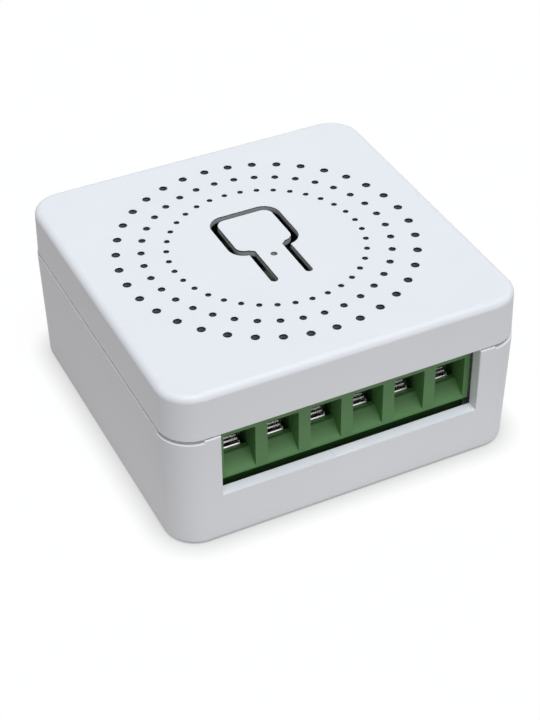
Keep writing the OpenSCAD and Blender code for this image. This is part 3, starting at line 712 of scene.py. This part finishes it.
@dataclass(frozen=True)
class Winding:
    """Enamelled wire laid in close turns across one axis, with painted shade between the turns and a painted
    highlight on them.
    """

    name: str
    colour: Colour
    wire_mm: float
    across: str = "X"
    wobble: float = 0.15
    depth_mm: float = 0.05
    spot_mm: float = 1.2
    turn_share: float = 0.75
    # Painted shade in the grooves between turns, the plain colour, and a painted highlight on the crests
    turn_shade_and_highlight: Sequence[float] = (0.4, 1.0, 1.25)
    roughness: float = 0.24
    gloss_spread: float = 0.12
    metallic: float = 0.6
    waves_per_unit: float = 20.0

    def make(self) -> bpy.types.Material:
        """Build the material.

        Returns:
            The finished material.
        """
        paint = Paint(self.name)
        scale = 1 / (self.wire_mm * MM) / self.waves_per_unit * 2 * math.pi
        inputs = {"Vector": paint.place(), "Scale": scale, "Distortion": self.wobble, "Detail": 1.0}
        turns = paint.node("ShaderNodeTexWave", {"bands_direction": self.across}, inputs, "Fac")
        spots = paint.noise(self.spot_mm)
        mix = (self.turn_share * turns + (1 - self.turn_share) * spots).clamp()
        # Painted shade and highlight along the turns, mixed with spots of random tone
        stops = [(place, shade(self.colour, painted_tone)) for place, painted_tone in zip((0.0, 0.5, 1.0), self.turn_shade_and_highlight)]
        gloss = (self.roughness + self.gloss_spread * spots).clamp()
        return paint.close(Base_Color=paint.ramp(mix, *stops), Roughness=gloss, Metallic=self.metallic,
                           Normal=paint.bump(turns, self.depth_mm))


@dataclass(frozen=True)
class Laminate:
    """Coated circuit board: darker bare base and lighter tracks under a green film."""

    name: str
    colour: Colour
    track_mm: float = 3.2
    track_tone: float = 1.5
    track_ends: Pair = (0.35, 0.42)
    weave_mm: float = 0.3
    weave_depth_mm: float = 0.01
    weave_shown: float = 0.4
    roughness: float = 0.28
    gloss_spread: float = 0.15
    coat: float = 0.3

    def make(self) -> bpy.types.Material:
        """Build the material.

        Returns:
            The finished material.
        """
        paint = Paint(self.name)
        cells = paint.node("ShaderNodeTexVoronoi", {"distance": "MANHATTAN"},
                           {"Vector": paint.place((1, 1, 0)), "Scale": 1 / (self.track_mm * MM)}, "Color")
        weave = paint.noise(self.weave_mm)
        low, high = self.track_ends
        tracks = paint.ramp(cells, (low, self.colour), (high, shade(self.colour, self.track_tone)))
        gloss = self.roughness + self.gloss_spread * weave
        return paint.close(Base_Color=tracks, Roughness=gloss.clamp(), Coat_Weight=self.coat,
                           Normal=paint.bump(weave, self.weave_depth_mm, self.weave_shown))


class Case:
    """Values that both halves of the case and its button share."""

    half: float = 20.75
    height: float = 20.0
    top_t: float = 0.7
    under: float = height - top_t
    corner_r: float = 3.75
    rim_z: float = 14.3
    lid_z: float = 14.45
    inner_half: float = 19.25
    inner_r: float = 2.25
    draft: float = math.tan(math.radians(1.0))
    edge: float = 0.06
    tool_z: Pair = (under - OVER / 2, height - edge)
    head_mid: Pair = (0, 3.15)
    root_y: float = -6.1
    post_at: Pair = (16.725, 16.05)
    corners: Sequence[tuple[int, int]] = ((-1, -1), (-1, 1), (1, -1), (1, 1))


class Row:
    """Where the six terminals and their screws stand."""

    cells: Sequence[float] = (-12.5, -7.5, -2.5, 2.5, 7.5, 12.5)
    screw_y: float = -14.64


def span(side: int, near: float, far: float) -> list[float]:
    """The two ends of a stretch on one side of the middle, in rising order."""
    return sorted((side * near, side * far))


def flare_top(tool: Piece, grow_x: float, grow_y: float, at: Pair) -> Piece:
    """Widen the top of a cutting tool, which ends one edge width below the top of the case."""
    return tool.flare(UP, (0, 0, Case.edge), (grow_x, grow_y, 1), (*at, Case.height), (0, 0, OVER / 2))


def bore(name: str, at: Pair, radius: float, sides: int = 32) -> Piece:
    """A round tool through the top of the case, which breaks the upper edge of its hole."""
    grow = 1 + Case.edge / radius
    return flare_top(Piece.rod(name, at, *Case.tool_z, radius, sides), grow, grow, at)


@dataclass
class LowerCase:
    """The lower half of the case, with its window, rim, lip, posts and screwdriver holes."""

    bottom_r: float = 0.5
    rim_chamfer: float = 0.2
    groove: float = 0.3
    floor: float = 1.5
    lip_t: float = 0.7
    lip_root: float = 0.6
    lip_top: float = 15.5
    lip_edge: float = 0.15
    window_half: float = 15.195
    window_depth: float = 2.5
    window_edge: float = 0.12
    sill_z: float = 6.1
    gate_ends: Pair = (-2.1, 1.5)
    gate_h: float = 0.06
    hole_r: float = 1.5
    hole_edge: float = 0.2
    post_r: float = 1.5
    board_z: float = 14.0
    pin_r: float = 0.55
    pin_top: float = 15.6
    pocket_y: float = 8.0
    pocket_z: float = 12.8
    pocket_half: Point = (0.65, 2.8, 0.7)

    def build(self) -> Piece:
        """Model the half.

        Returns:
            The new piece.
        """
        inner = [Case.inner_half] * 2
        shell = Piece.rounded("lower_case_shell", [Case.half] * 2, Case.corner_r, 0, Case.rim_z)
        narrow = 1 - Case.rim_z * Case.draft / Case.half
        shell.move_faces(DOWN, None, (narrow, narrow, 1))
        shell.bevel(level_at(0), self.bottom_r, steps=5)
        shell.bevel(level_at(Case.rim_z), self.rim_chamfer, steps=2)
        shell.cut(Piece.rounded("inner", inner, Case.inner_r, self.floor, Case.height))
        shell.cut(*self._corner_cuts())
        lip_half = [Case.inner_half + self.lip_t] * 2
        lip_r = Case.inner_r + self.lip_t
        lip = Piece.rounded("lip", lip_half, lip_r, Case.rim_z - self.lip_root, self.lip_top)
        lip.bevel(level_at(self.lip_top), self.lip_edge, steps=2)
        lip.cut(Piece.rounded("hollow", inner, Case.inner_r, 0, Case.height))
        shell.weld(lip)
        shell.cut(self._window())
        shell.weld(self._gate_mark())
        self._split_floor(shell)
        shell.cut(*self._holes())
        shell.cut(*self._pockets())
        shell.weld(*self._posts())
        return shell.finish()

    def _corner_cuts(self) -> list[Piece]:
        """The four blocks that lower the rim around the upright corners.

        Returns:
            The cutting tools.
        """
        stretch = (Case.half - Case.corner_r, Case.half + OVER)
        tools = []
        for side_x, side_y in Case.corners:
            xs = span(side_x, *stretch)
            ys = span(side_y, *stretch)
            tools.append(Piece.box("groove", (xs[0], ys[0], Case.rim_z - self.groove),
                                   (xs[1], ys[1], Case.rim_z + OVER / 2)))
        return tools

    def _window(self) -> Piece:
        """The block that cuts the window, flared at the front to break its edges.

        Returns:
            The cutting tool.
        """
        front = -Case.half
        edge = self.window_edge
        tool = Piece.box("window", (-self.window_half, front + edge, self.sill_z),
                         (self.window_half, front + self.window_depth, Case.height))
        grow = (1 + edge / self.window_half, 1, 1 + edge / (Case.height - self.sill_z))
        return tool.flare(FRONT, (0, -edge, 0), grow, (0, front, Case.height), (0, -OVER, 0))

    def _gate_mark(self) -> Piece:
        """The flat patch that the moulding's gate left on the sill.

        Returns:
            The patch, to weld on.
        """
        top = self.sill_z + self.gate_h
        low = (self.gate_ends[0], -Case.half + 2 * self.window_edge, self.sill_z - self.gate_h)
        patch = Piece.box("gate_mark", low, (self.gate_ends[1], -Case.inner_half - self.gate_h, top))
        return patch.bevel(level_at(top), self.gate_h / 2, steps=2)

    def _split_floor(self, shell: Piece) -> None:
        """Split the floor's faces between the screwdriver holes, so that each face has one hole at most.

        Args:
            shell: The half's shell.
        """
        margin = (Row.cells[1] - Row.cells[0]) / 2
        xs = (Row.cells[0] - margin, *(cell + margin for cell in Row.cells))
        ys = (Row.screw_y - margin, Row.screw_y + margin)
        shell.part(level_sheet(-OVER, self.floor + OVER / 2), grid(xs, ys))

    def _holes(self) -> list[Piece]:
        """The screwdriver holes in the floor, flared underneath.

        Returns:
            The cutting tools.
        """
        edge = self.hole_edge
        grow = 1 + edge / self.hole_r
        tools = []
        for x in Row.cells:
            at = (x, Row.screw_y)
            tool = Piece.rod("hole", at, edge, self.floor + OVER / 2, self.hole_r, sides=40)
            tools.append(tool.flare(DOWN, (0, 0, -edge), (grow, grow, 1), (*at, 0), (0, 0, -OVER / 2)))
        return tools

    def _pockets(self) -> list[Piece]:
        """The pockets in the side walls that the snap hooks catch in.

        Returns:
            The cutting tools.
        """
        tools = []
        for side_x, side_y in Case.corners:
            middle = (side_x * Case.inner_half, side_y * self.pocket_y, self.pocket_z)
            low = [place - half for place, half in zip(middle, self.pocket_half)]
            high = [place + half for place, half in zip(middle, self.pocket_half)]
            tools.append(Piece.box("pocket", low, high))
        return tools

    def _posts(self) -> list[Piece]:
        """The posts that carry the board, each with its pin.

        Returns:
            The posts.
        """
        posts = []
        for side_x, side_y in Case.corners:
            at = (side_x * Case.post_at[0], side_y * Case.post_at[1])
            post = Piece.rod("post", at, self.floor / 2, self.board_z, self.post_r, sides=24)
            pin = Piece.rod("pin", at, self.board_z - OVER / 2, self.pin_top, self.pin_r, sides=16)
            posts.append(post.weld(pin))
        return posts


@dataclass
class UpperCase:
    """The upper half of the case, with its vents, button opening, hooks and posts."""

    inset: float = 0.1
    top_r: float = 0.75
    lower_edge: float = 0.1
    inner_half: float = 19.15
    rebate_half: float = 20.05
    rebate_grow: float = 0.8
    rebate_top: float = 15.7
    vents: int = 36
    vent_rings: Sequence[tuple[float, float]] = ((16.5, 0.95), (13.75, 0.80), (11.0, 0.65))
    field_half: float = 5.2
    field_ends: Pair = (-7.6, 8.2)
    head_half: Pair = (4.2, 4.1)
    head_r: float = 1.95
    neck_half: float = 2.5
    slot_end_x: float = 2.075
    slot_end_r: float = 0.425
    post_r: float = 1.2
    board_top: float = 15.6
    hook_y: float = 8.0
    hook_half: float = 2.5
    hook_tip: float = 12.4
    hook_x: Pair = (18.1, 19.1)
    root_x: Pair = (18.15, 19.95)
    barb_x: Pair = (18.8, 19.6)
    barb_rise: Pair = (0.4, 0.8)

    def build(self) -> Piece:
        """Model the half.

        Returns:
            The new piece.
        """
        half = Case.half - self.inset
        corner_r = Case.corner_r - self.inset
        shell = Piece.rounded("upper_case_shell", [half] * 2, corner_r, Case.lid_z, Case.height)
        narrow = 1 - (Case.height - Case.lid_z) * Case.draft / half
        shell.move_faces(UP, None, (narrow, narrow, 1), (0, 0, Case.height))
        shell.bevel(level_at(Case.height), self.top_r, steps=8)
        shell.bevel(level_at(Case.lid_z), self.lower_edge, steps=2)
        low = Case.lid_z - OVER
        rebate_r = Case.inner_r + self.rebate_grow
        shell.cut(Piece.rounded("hollow", [self.inner_half] * 2, Case.inner_r, low, Case.under),
                  Piece.rounded("rebate", [self.rebate_half] * 2, rebate_r, low, self.rebate_top))
        top_sheet = level_sheet(Case.under - OVER / 2, Case.height + OVER)

        def vented_sheet(middle: Vector, normal: Vector) -> bool:
            """Whether a face of the top or its underside lies outside the plain field around the button."""
            in_field = abs(middle.x) < self.field_half and self.field_ends[0] < middle.y < self.field_ends[1]
            return top_sheet(middle, normal) and not in_field

        shell.part(top_sheet, grid((-self.field_half, self.field_half), self.field_ends))
        shell.part(vented_sheet, star(self.vents))
        shell.weld(*self._fittings())
        shell.cut(*[bore("vent", (radius, 0), wide / 2, sides=24).ring(self.vents)
                    for radius, wide in self.vent_rings])
        shell.cut(*self._button_cuts())
        return shell.finish()

    def _button_cuts(self) -> list[Piece]:
        """The tools that cut the opening around the button.

        Returns:
            The cutting tools.
        """
        low, high = Case.tool_z
        head = Piece.rounded("head_cut", self.head_half, self.head_r, low, high, Case.head_mid)
        flare_top(head, *[1 + Case.edge / half for half in self.head_half], Case.head_mid)
        neck = Piece.box("neck_cut", (-self.neck_half, Case.root_y, low), (self.neck_half, 0, high))
        flare_top(neck, 1 + Case.edge / self.neck_half, 1, (0, Case.root_y))
        ends = [bore("slot_end", (side * self.slot_end_x, Case.root_y), self.slot_end_r) for side in (-1, 1)]
        return [head, neck, *ends]

    def _fittings(self) -> list[Piece]:
        """The posts that hold the board down, and the snap hooks.

        Returns:
            The pieces to weld on.
        """
        made = []
        for side_x, side_y in Case.corners:
            at = (side_x * Case.post_at[0], side_y * Case.post_at[1])
            made.append(Piece.rod("post", at, self.board_top, Case.under + OVER / 2, self.post_r, sides=24))
            made.append(self._hook(side_x, side_y * self.hook_y))
        return made

    def _hook(self, side: int, y: float) -> Piece:
        """A snap hook that hangs inside the lower half.

        Args:
            side: Which side wall it hangs by, -1 or 1.
            y: The middle of its width.

        Returns:
            The hook.
        """
        tip = self.hook_tip
        top = Case.height - Case.top_t / 2
        parts = []
        for name, stretch, low, high in (
                ("hook", self.hook_x, tip, top),
                ("hook_root", self.root_x, self.rebate_top, top),
                ("barb", self.barb_x, tip + self.barb_rise[0], tip + self.barb_rise[1])):
            xs = span(side, *stretch)
            parts.append(Piece.box(name, (xs[0], y - self.hook_half, low), (xs[1], y + self.hook_half, high)))
        hook, *others = parts
        return hook.weld(*others)


@dataclass
class ButtonTongue:
    """The button: a head on a narrow neck, cut free from the top; the real button bends at its root."""

    head_half: Pair = (3.35, 3.25)
    head_r: float = 1.1
    shoulder: float = 0.45
    neck_half: float = 1.65
    flat_front: float = 0.999
    bend_y: float = -2.6
    light_y: float = -1.85
    light_r: float = 0.375
    nub_r: float = 1.0
    nub_z: float = 17.6

    def build(self) -> Piece:
        """Model the tongue.

        Returns:
            The new piece.
        """
        tongue = Piece.rounded("button_tongue_cap", self.head_half, self.head_r, Case.under, Case.height,
                               Case.head_mid, steps=10)
        front = Case.head_mid[1] - self.head_half[1]
        narrow = self.neck_half / (self.head_half[0] - self.head_r)
        reach = front - self.shoulder - Case.root_y
        end = facing("y", -1, self.flat_front)
        tongue.flare(end, (0, -self.shoulder, 0), (narrow, 1, 1), (0, front, Case.under), (0, -reach, 0))
        tongue.bevel(self._top_rim, Case.edge, steps=2)
        tongue.cut(bore("light", (0, self.light_y), self.light_r, sides=24))
        tongue.weld(Piece.rod("nub", Case.head_mid, self.nub_z, Case.under + OVER / 2, self.nub_r))
        return tongue.finish()

    def _top_rim(self, a: Vector, b: Vector) -> bool:
        """Whether an edge is on the top rim, away from the root.

        Args:
            a: One end of the edge.
            b: The other end.

        Returns:
            True for an edge of the rim.
        """
        at_root = abs(a.y - Case.root_y) < SAME and abs(b.y - Case.root_y) < SAME
        inside = abs(a.y - b.y) < SAME and a.x * b.x < 0 and a.y < Case.head_mid[1]
        return level_at(Case.height)(a, b) and not at_root and not inside


@dataclass
class TerminalHousing:
    """The green terminal housing with its six funnels."""

    half: float = 14.975
    front: float = -19.15
    back: float = -11.1
    low: float = 2.0
    high: float = 14.0
    cell_half: float = 1.775
    lip_z: float = 7.25
    lip_h: float = 0.3
    undercut: float = 0.9
    ledge_z: float = 8.75
    ramp_back: float = -17.49
    cavity_y: float = -16.79
    cavity_back: float = -12.19
    cavity_z: float = 4.6
    lintel_z: float = 12.6
    pocket_r: float = 1.65
    pocket_z: float = 3.0
    driver_r: float = 1.2
    edge: float = 0.1
    sharp_deg: float = 40.0

    def build(self) -> Piece:
        """Model the housing.

        Returns:
            The new piece.
        """
        block = Piece.box("terminal_block", (-self.half, self.front, self.low),
                          (self.half, self.back, self.high))
        block.cut(Piece.box("step", (-self.half - OVER, self.front - OVER, self.low - OVER),
                            (self.half + OVER, self.front + self.undercut, self.lip_z - self.lip_h)))
        for x in Row.cells:
            at = (x, Row.screw_y)
            cavity = Piece.box("cavity", (x - self.cell_half, self.cavity_y, self.cavity_z),
                               (x + self.cell_half, self.cavity_back, self.high + OVER))
            block.cut(self._funnel(x), cavity)
            pocket_top = self.cavity_z + OVER / 2
            driver_top = self.pocket_z + OVER / 2
            block.cut(Piece.rod("pocket", at, self.pocket_z, pocket_top, self.pocket_r, sides=40),
                      Piece.rod("driver", at, self.low - OVER, driver_top, self.driver_r, sides=40))
        block.break_edges(self.edge, self.sharp_deg, use_clamp_overlap=False, miter_outer="MITER_ARC")
        return block.finish()

    def _funnel(self, x: float) -> Piece:
        """The block that cuts one funnel, with its ramp and its ledge.

        Args:
            x: The middle of the cell.

        Returns:
            The cutting tool.
        """
        tool = Piece.box("funnel", (x - self.cell_half, self.ramp_back, self.ledge_z),
                         (x + self.cell_half, self.cavity_y + OVER, self.lintel_z))
        fall = (self.lintel_z - self.lip_z) / (self.lintel_z - self.ledge_z)
        depth = self.ramp_back - self.front
        return tool.flare(FRONT, (0, -depth, 0), (1, 1, fall), (x, self.front, self.lintel_z), (0, -OVER, 0))


@dataclass
class ClampCage:
    """A cage bent from plated strip, which a screw draws down over the wire."""

    half: float = 1.675
    front: float = -15.99
    back: float = -13.29
    low: float = 6.9
    high: float = 12.7
    inner_half: float = 1.15
    inner_low: float = 7.9
    inner_high: float = 12.1
    outer_r: float = 0.55
    inner_r: float = 0.3
    hole_r: float = 1.05
    edge: float = 0.06
    sharp_deg: float = 50.0

    def build(self) -> Piece:
        """Model a cage in the middle of the row.

        Returns:
            The new piece.
        """
        cage = Piece.box("cage", (-self.half, self.front, self.low), (self.half, self.back, self.high))
        cage.bevel(along("y"), self.outer_r, steps=6)
        room = Piece.box("room", (-self.inner_half, self.front - OVER, self.inner_low),
                         (self.inner_half, self.back + OVER, self.inner_high))
        room.bevel(along("y"), self.inner_r, steps=5)
        hole = Piece.rod("hole", (0, Row.screw_y), self.low - OVER, self.inner_low + OVER, self.hole_r)
        cage.cut(room, hole)
        return cage.break_edges(self.edge, self.sharp_deg, use_clamp_overlap=False).finish()


@dataclass
class WireTray:
    """The fixed tray that the wire lies in, with a toothed floor, sloping sides and a solder pin."""

    half: float = 1.05
    front: float = -16.99
    back: float = -12.59
    low: float = 8.75
    high: float = 10.05
    inner_half: float = 0.85
    floor_z: float = 9.05
    stop_y: float = -13.19
    teeth: int = 6
    tooth: float = 0.6
    groove: float = 0.3
    groove_depth: float = 0.12
    groove_over: float = 0.1
    pin_half: float = 0.45
    pin_top: float = 16.6
    pin_edge: float = 0.15
    bend_r: float = 0.35
    inner_r: float = 0.15
    mouth_h: float = 0.2
    mouth_run: float = 1.7
    lead_in: float = 0.09
    edge: float = 0.07
    sharp_deg: float = 50.0

    def build(self) -> Piece:
        """Model a tray in the middle of the row.

        Returns:
            The new piece.
        """
        tray = Piece.box("tray", (-self.half, self.front, self.low), (self.half, self.back, self.high))
        tray.bevel(self._low_along_y, self.bend_r, steps=6)
        hollow = Piece.box("hollow", (-self.inner_half, self.front - OVER, self.floor_z),
                           (self.inner_half, self.stop_y, self.high + OVER))
        hollow.bevel(self._low_along_y, self.inner_r, steps=4)
        tray.cut(hollow, self._wedge(self.floor_z + self.mouth_h, self.high, self.mouth_run),
                 self._wedge(self.floor_z - self.lead_in, self.floor_z, self.lead_in))
        for number in range(1, self.teeth):
            start = self.front + number * self.tooth
            tray.cut(Piece.box("groove", (-self.inner_half, start, self.floor_z - self.groove_depth),
                               (self.inner_half, start + self.groove, self.floor_z + self.groove_over)))
        pin = Piece.box("pin", (-self.pin_half, self.stop_y, self.floor_z),
                        (self.pin_half, self.back, self.pin_top))
        tray.weld(pin.bevel(level_at(self.pin_top), self.pin_edge, steps=2))
        return tray.break_edges(self.edge, self.sharp_deg, use_clamp_overlap=True).finish()

    def _wedge(self, low: float, high: float, run: float) -> Piece:
        """A block that cuts a slope, falling to the front, across the tray and all above it.

        Args:
            low: The slope's height at the front.
            high: Its height at the back.
            run: How far it runs.

        Returns:
            The cutting tool.
        """
        top = self.high + OVER
        tool = Piece.box("wedge", (-2 * self.half, self.front - OVER, low), (2 * self.half, self.front, top))
        return tool.move_faces(BACK, (0, run, 0), (1, 1, (top - high) / (top - low)), (0, 0, top))

    def _low_along_y(self, a: Vector, b: Vector) -> bool:
        """Whether an edge runs from front to back below the middle of the tray's sides."""
        return along("y")(a, b) and a.z < (self.floor_z + self.high) / 2


@dataclass
class ClampScrew:
    """A slotted screw, worked from below, with turned rings that stand for its thread."""

    head_r: float = 1.55
    head_low: float = 3.1
    head_high: float = 4.5
    shank_root: float = 0.3
    shank_high: float = 8.6
    crest_r: float = 1.0
    root_r: float = 0.82
    tip: float = 0.85
    pitch: float = 0.45
    slot_w: float = 0.5
    slot_depth: float = 0.6
    edge: float = 0.12

    def build(self) -> Piece:
        """Model a screw in the middle of the row.

        Returns:
            The new piece.
        """
        at = (0, Row.screw_y)
        screw = Piece.rod("screw", at, self.head_low, self.head_high, self.head_r, sides=48)
        screw.bevel(level_at(self.head_low), self.edge, steps=3)
        screw.cut(Piece.box("slot", (-2 * self.head_r, at[1] - self.slot_w / 2, self.head_low - OVER),
                            (2 * self.head_r, at[1] + self.slot_w / 2, self.head_low + self.slot_depth)))
        shank = Piece.rod("shank", at, self.head_high - self.shank_root, self.head_high + self.pitch / 2,
                          self.root_r, sides=24)
        turns = int((self.shank_high - self.head_high - self.pitch) / self.pitch)
        for _ in range(turns):
            for grow in (self.crest_r / self.root_r, self.root_r / self.crest_r):
                shank.move_faces(UP, (0, 0, self.pitch / 2), (grow, grow, 1), (*at, 0))
        left = self.shank_high - self.head_high - self.pitch / 2 - turns * self.pitch
        shank.move_faces(UP, (0, 0, left), (self.tip, self.tip, 1), (*at, self.shank_high))
        return screw.weld(shank).finish()


@dataclass(frozen=True)
class Lamp:
    """A soft lamp, far away."""

    name: str
    strength: float
    direction: Point
    soft_deg: float
    colour: Colour = (1.0, 1.0, 1.0)

    def hang(self) -> None:
        """Add the lamp to the scene."""
        data = bpy.data.lights.new(self.name, "SUN")
        data.energy = self.strength
        data.color = self.colour
        data.angle = math.radians(self.soft_deg)
        lamp = bpy.data.objects.new(self.name, data)
        bpy.context.scene.collection.objects.link(lamp)
        lamp.rotation_mode = "QUATERNION"
        lamp.rotation_quaternion = Vector(self.direction).to_track_quat("Z", "Y")


@dataclass
class Studio:
    """Camera, lamps, world and floor."""

    lens_px: float = 1704.5
    long_side_px: float = 720.0
    sensor_mm: float = 36.0
    clip_start_m: float = 0.01
    azimuth_deg: float = -25.739
    elevation_deg: float = 38.690
    roll_deg: float = 0.597
    target: Point = (-1.09, -2.838, 6.217)
    distance: float = 193.02
    white: float = 1.0
    world_strength: float = 0.32
    lamps: Sequence[Lamp] = (
        Lamp("key", 1.97, (0.0, -0.24, 0.97), 24.0, (0.915, 1.0, 1.06)),
        Lamp("fill", 0.32, (0.0, -0.77, 0.64), 40.0),
    )
    floor_half: float = 2000.0
    floor_tint: float = 0.06
    floor_glow: float = 0.94
    # Painted bounce light and painted contact shadow in the floor's glow
    bounce_middle: Point = (0.0, -34.0, 0.0)
    bounce_levels: Pair = (0.58, 0.25)
    bounce_reach_mm: Pair = (10.0, 70.0)
    contact_mm: float = 2.8
    contact_samples: int = 8
    contact_levels: Sequence[tuple[float, float]] = ((0.0, 0.05), (0.45, 0.70), (1.0, 1.0))

    def set_camera(self) -> None:
        """Stand the camera at the photograph's angle."""
        azimuth = math.radians(self.azimuth_deg)
        elevation = math.radians(self.elevation_deg)
        back = Vector((math.sin(azimuth) * math.cos(elevation), -math.cos(azimuth) * math.cos(elevation),
                       math.sin(elevation)))
        data = bpy.data.cameras.new("camera")
        data.sensor_width = self.sensor_mm
        data.lens = self.lens_px / self.long_side_px * self.sensor_mm
        data.clip_start = self.clip_start_m
        camera = bpy.data.objects.new("camera", data)
        bpy.context.scene.collection.objects.link(camera)
        roll = Matrix.Rotation(-math.radians(self.roll_deg), 3, "Z")
        turn = back.to_track_quat("Z", "Y").to_matrix() @ roll
        place = (Vector(self.target) + back * self.distance) * MM
        camera.matrix_world = Matrix.Translation(place) @ turn.to_4x4()
        bpy.context.scene.camera = camera

    def set_lights(self) -> None:
        """Add the soft lamps and the even world."""
        for lamp in self.lamps:
            lamp.hang()
        world = bpy.data.worlds.new("studio")
        bpy.context.scene.world = world
        paint = Paint(world)
        strength = self.world_strength + (self.white - self.world_strength) * paint.shown()
        sky = paint.node("ShaderNodeBackground", {}, {"Color": (1, 1, 1, 1), "Strength": strength})
        paint.node("ShaderNodeOutputWorld", {}, {"Surface": sky})
        bpy.context.scene.view_settings.view_transform = "Standard"

    def set_floor(self) -> None:
        """Lay the pale floor, which shows white and throws back less light, both by its glow: painted bounce
        light that fades away from a point in front of the case, and a painted contact shadow that darkens it
        close to the case.
        """
        bpy.ops.object.select_all(action="DESELECT")
        bpy.ops.mesh.primitive_plane_add(size=2 * self.floor_half * MM, location=(0, 0, 0))
        floor = bpy.context.active_object
        floor.name = "floor"
        paint = Paint("floor_white")
        # Painted contact shadow: the glow darkened by occlusion close to the case
        clear = paint.node("ShaderNodeAmbientOcclusion", {"samples": self.contact_samples},
                           {"Distance": self.contact_mm * MM}, "AO")
        painted_contact_shadow = paint.ramp(clear, *((place, (level,) * 3) for place, level in self.contact_levels))
        # Painted bounce light: the glow that lights the case fades with distance from a point in front of it
        ends = {0: paint.place(), 1: Vector(self.bounce_middle) * MM}
        away = paint.node("ShaderNodeVectorMath", {"operation": "DISTANCE"}, ends, "Value")
        painted_bounce = paint.scaled(away, [reach * MM for reach in self.bounce_reach_mm], self.bounce_levels)
        glow = (painted_bounce + (self.floor_glow - painted_bounce) * paint.shown()) * painted_contact_shadow
        shine = paint.ramp(glow, (0.0, (0.0, 0.0, 0.0)), (1.0, (1.0, 1.0, 1.0)))
        tint = (*(self.floor_tint,) * 3, 1.0)
        floor.data.materials.append(paint.close(Base_Color=tint, Roughness=1.0, Specular_IOR_Level=0.0,
                                                Emission_Color=shine, Emission_Strength=1.0))


WHITE = (0.83, 0.823, 0.85)
GREEN = (0.072, 0.205, 0.054)
FINISHES = {
    "case_plastic": CaseMoulding("case_white", WHITE),
    "block_plastic": BlockMoulding("block_green", GREEN, roughness=0.42, streak=(1, 1, 0.15), contrast=0.08),
    "board_laminate": Laminate("board_green", (0.007, 0.028, 0.012)),
    "relay_plastic": Moulding("relay_blue", (0.05, 0.14, 0.4), roughness=0.3),
    "dark_plastic": Moulding("bobbin_black", (0.025, 0.025, 0.028)),
    "chip_plastic": Moulding("chip_black", (0.02, 0.02, 0.022), roughness=0.55),
    "copper_wire": Winding("copper_wire", (0.55, 0.24, 0.09), 0.18),
    "relay_steel": Plating("relay_steel", (0.55, 0.55, 0.54), roughness=0.32),
    "cage_steel": Plating("cage_steel", (0.68, 0.68, 0.67), roughness=0.24),
    "screw_steel": Plating("screw_steel", (0.64, 0.64, 0.62), roughness=0.27),
    "tinned_metal": Plating("tinned_metal", (0.72, 0.72, 0.71), roughness=0.22),
    "ferrite": Moulding("ferrite_grey", (0.045, 0.045, 0.05), roughness=0.6, grain_mm=0.08, contrast=0.15),
    "capacitor_can": Moulding("can_sleeve", (0.03, 0.035, 0.05), roughness=0.25, contrast=0.05),
    "varistor_coat": Moulding("varistor_blue", (0.03, 0.09, 0.35), roughness=0.3, grain_mm=0.4, contrast=0.1),
    "fuse_coat": Moulding("fuse_tan", (0.42, 0.3, 0.15), roughness=0.4, grain_mm=0.3, contrast=0.1),
    "chip_ceramic": Moulding("chip_tan", (0.4, 0.27, 0.14), roughness=0.35, contrast=0.06),
    "plunger_plastic": Moulding("plunger_ivory", (0.72, 0.68, 0.56), roughness=0.45),
    "led_resin": Moulding("led_milk", (0.75, 0.77, 0.74), roughness=0.2, grain_depth_mm=0.001),
}


@dataclass
class Dresser:
    """Makes each finish once, and puts it on the CAD nodes and on the new pieces."""

    made: dict[str, bpy.types.Material] = field(default_factory=dict)

    def paint(self, thing: bpy.types.Object, slot: str) -> None:
        """Give an object the finish of a slot, which is made at its first use.

        Args:
            thing: The object to paint.
            slot: The record's slot.
        """
        if slot not in self.made:
            self.made[slot] = FINISHES[slot].make()
        thing.data.materials.clear()
        thing.data.materials.append(self.made[slot])

    def dress_nodes(self) -> None:
        """Paint every CAD node with the finish of its slot."""
        for row in frame["record"]["subparts"]:
            self.paint(frame["nodes"][row["node"]], row["material_slot"])

    def dress(self, piece: Piece, slot: Slot, node: str) -> bpy.types.Object:
        """Paint a new piece, and let it stand for a CAD node.

        Args:
            piece: The new piece.
            slot: The record's slot.
            node: The CAD node that it stands for.

        Returns:
            The piece's object, which has yet to ride on a body.
        """
        self.paint(piece.thing, slot.value)
        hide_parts(node)
        LOG.info("%s: %d faces", piece.thing.name, len(piece.thing.data.polygons))
        return piece.thing


def main() -> None:
    """Build and dress the pieces in order, then set up the studio."""
    logging.basicConfig(level=logging.INFO, format="%(name)s: %(message)s")
    dresser = Dresser()
    dresser.dress_nodes()
    for model, slot, node in ((LowerCase(), Slot.CASE, "lower_case"), (UpperCase(), Slot.CASE, "upper_case"),
                              (TerminalHousing(), Slot.BLOCK, "terminal_housing")):
        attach(dresser.dress(model.build(), slot, node), Body.CASE.value)
    cage = ClampCage().build()
    tray = WireTray().build()
    screw = ClampScrew().build()
    for number, x in enumerate(Row.cells, 1):
        for first, node, slot, body in (
                (cage, f"terminal_cage_{number}", Slot.CAGE, f"cage_{number}"),
                (tray, f"terminal_contact_{number}", Slot.TINNED, Body.CASE.value),
                (screw, f"terminal_screw_{number}", Slot.SCREW, f"screw_{number}")):
            twin = first.copy(f"{node}_bright", (x * MM, 0, 0))
            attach(dresser.dress(twin, slot, node), body)
    for first in (cage, tray, screw):
        bpy.data.objects.remove(first.thing)
    tongue = ButtonTongue()
    cap = dresser.dress(tongue.build(), Slot.CASE, "button_tongue")
    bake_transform(cap)
    studio = Studio()
    studio.set_camera()
    studio.set_lights()
    studio.set_floor()


if __name__ == "__main__":
    main()
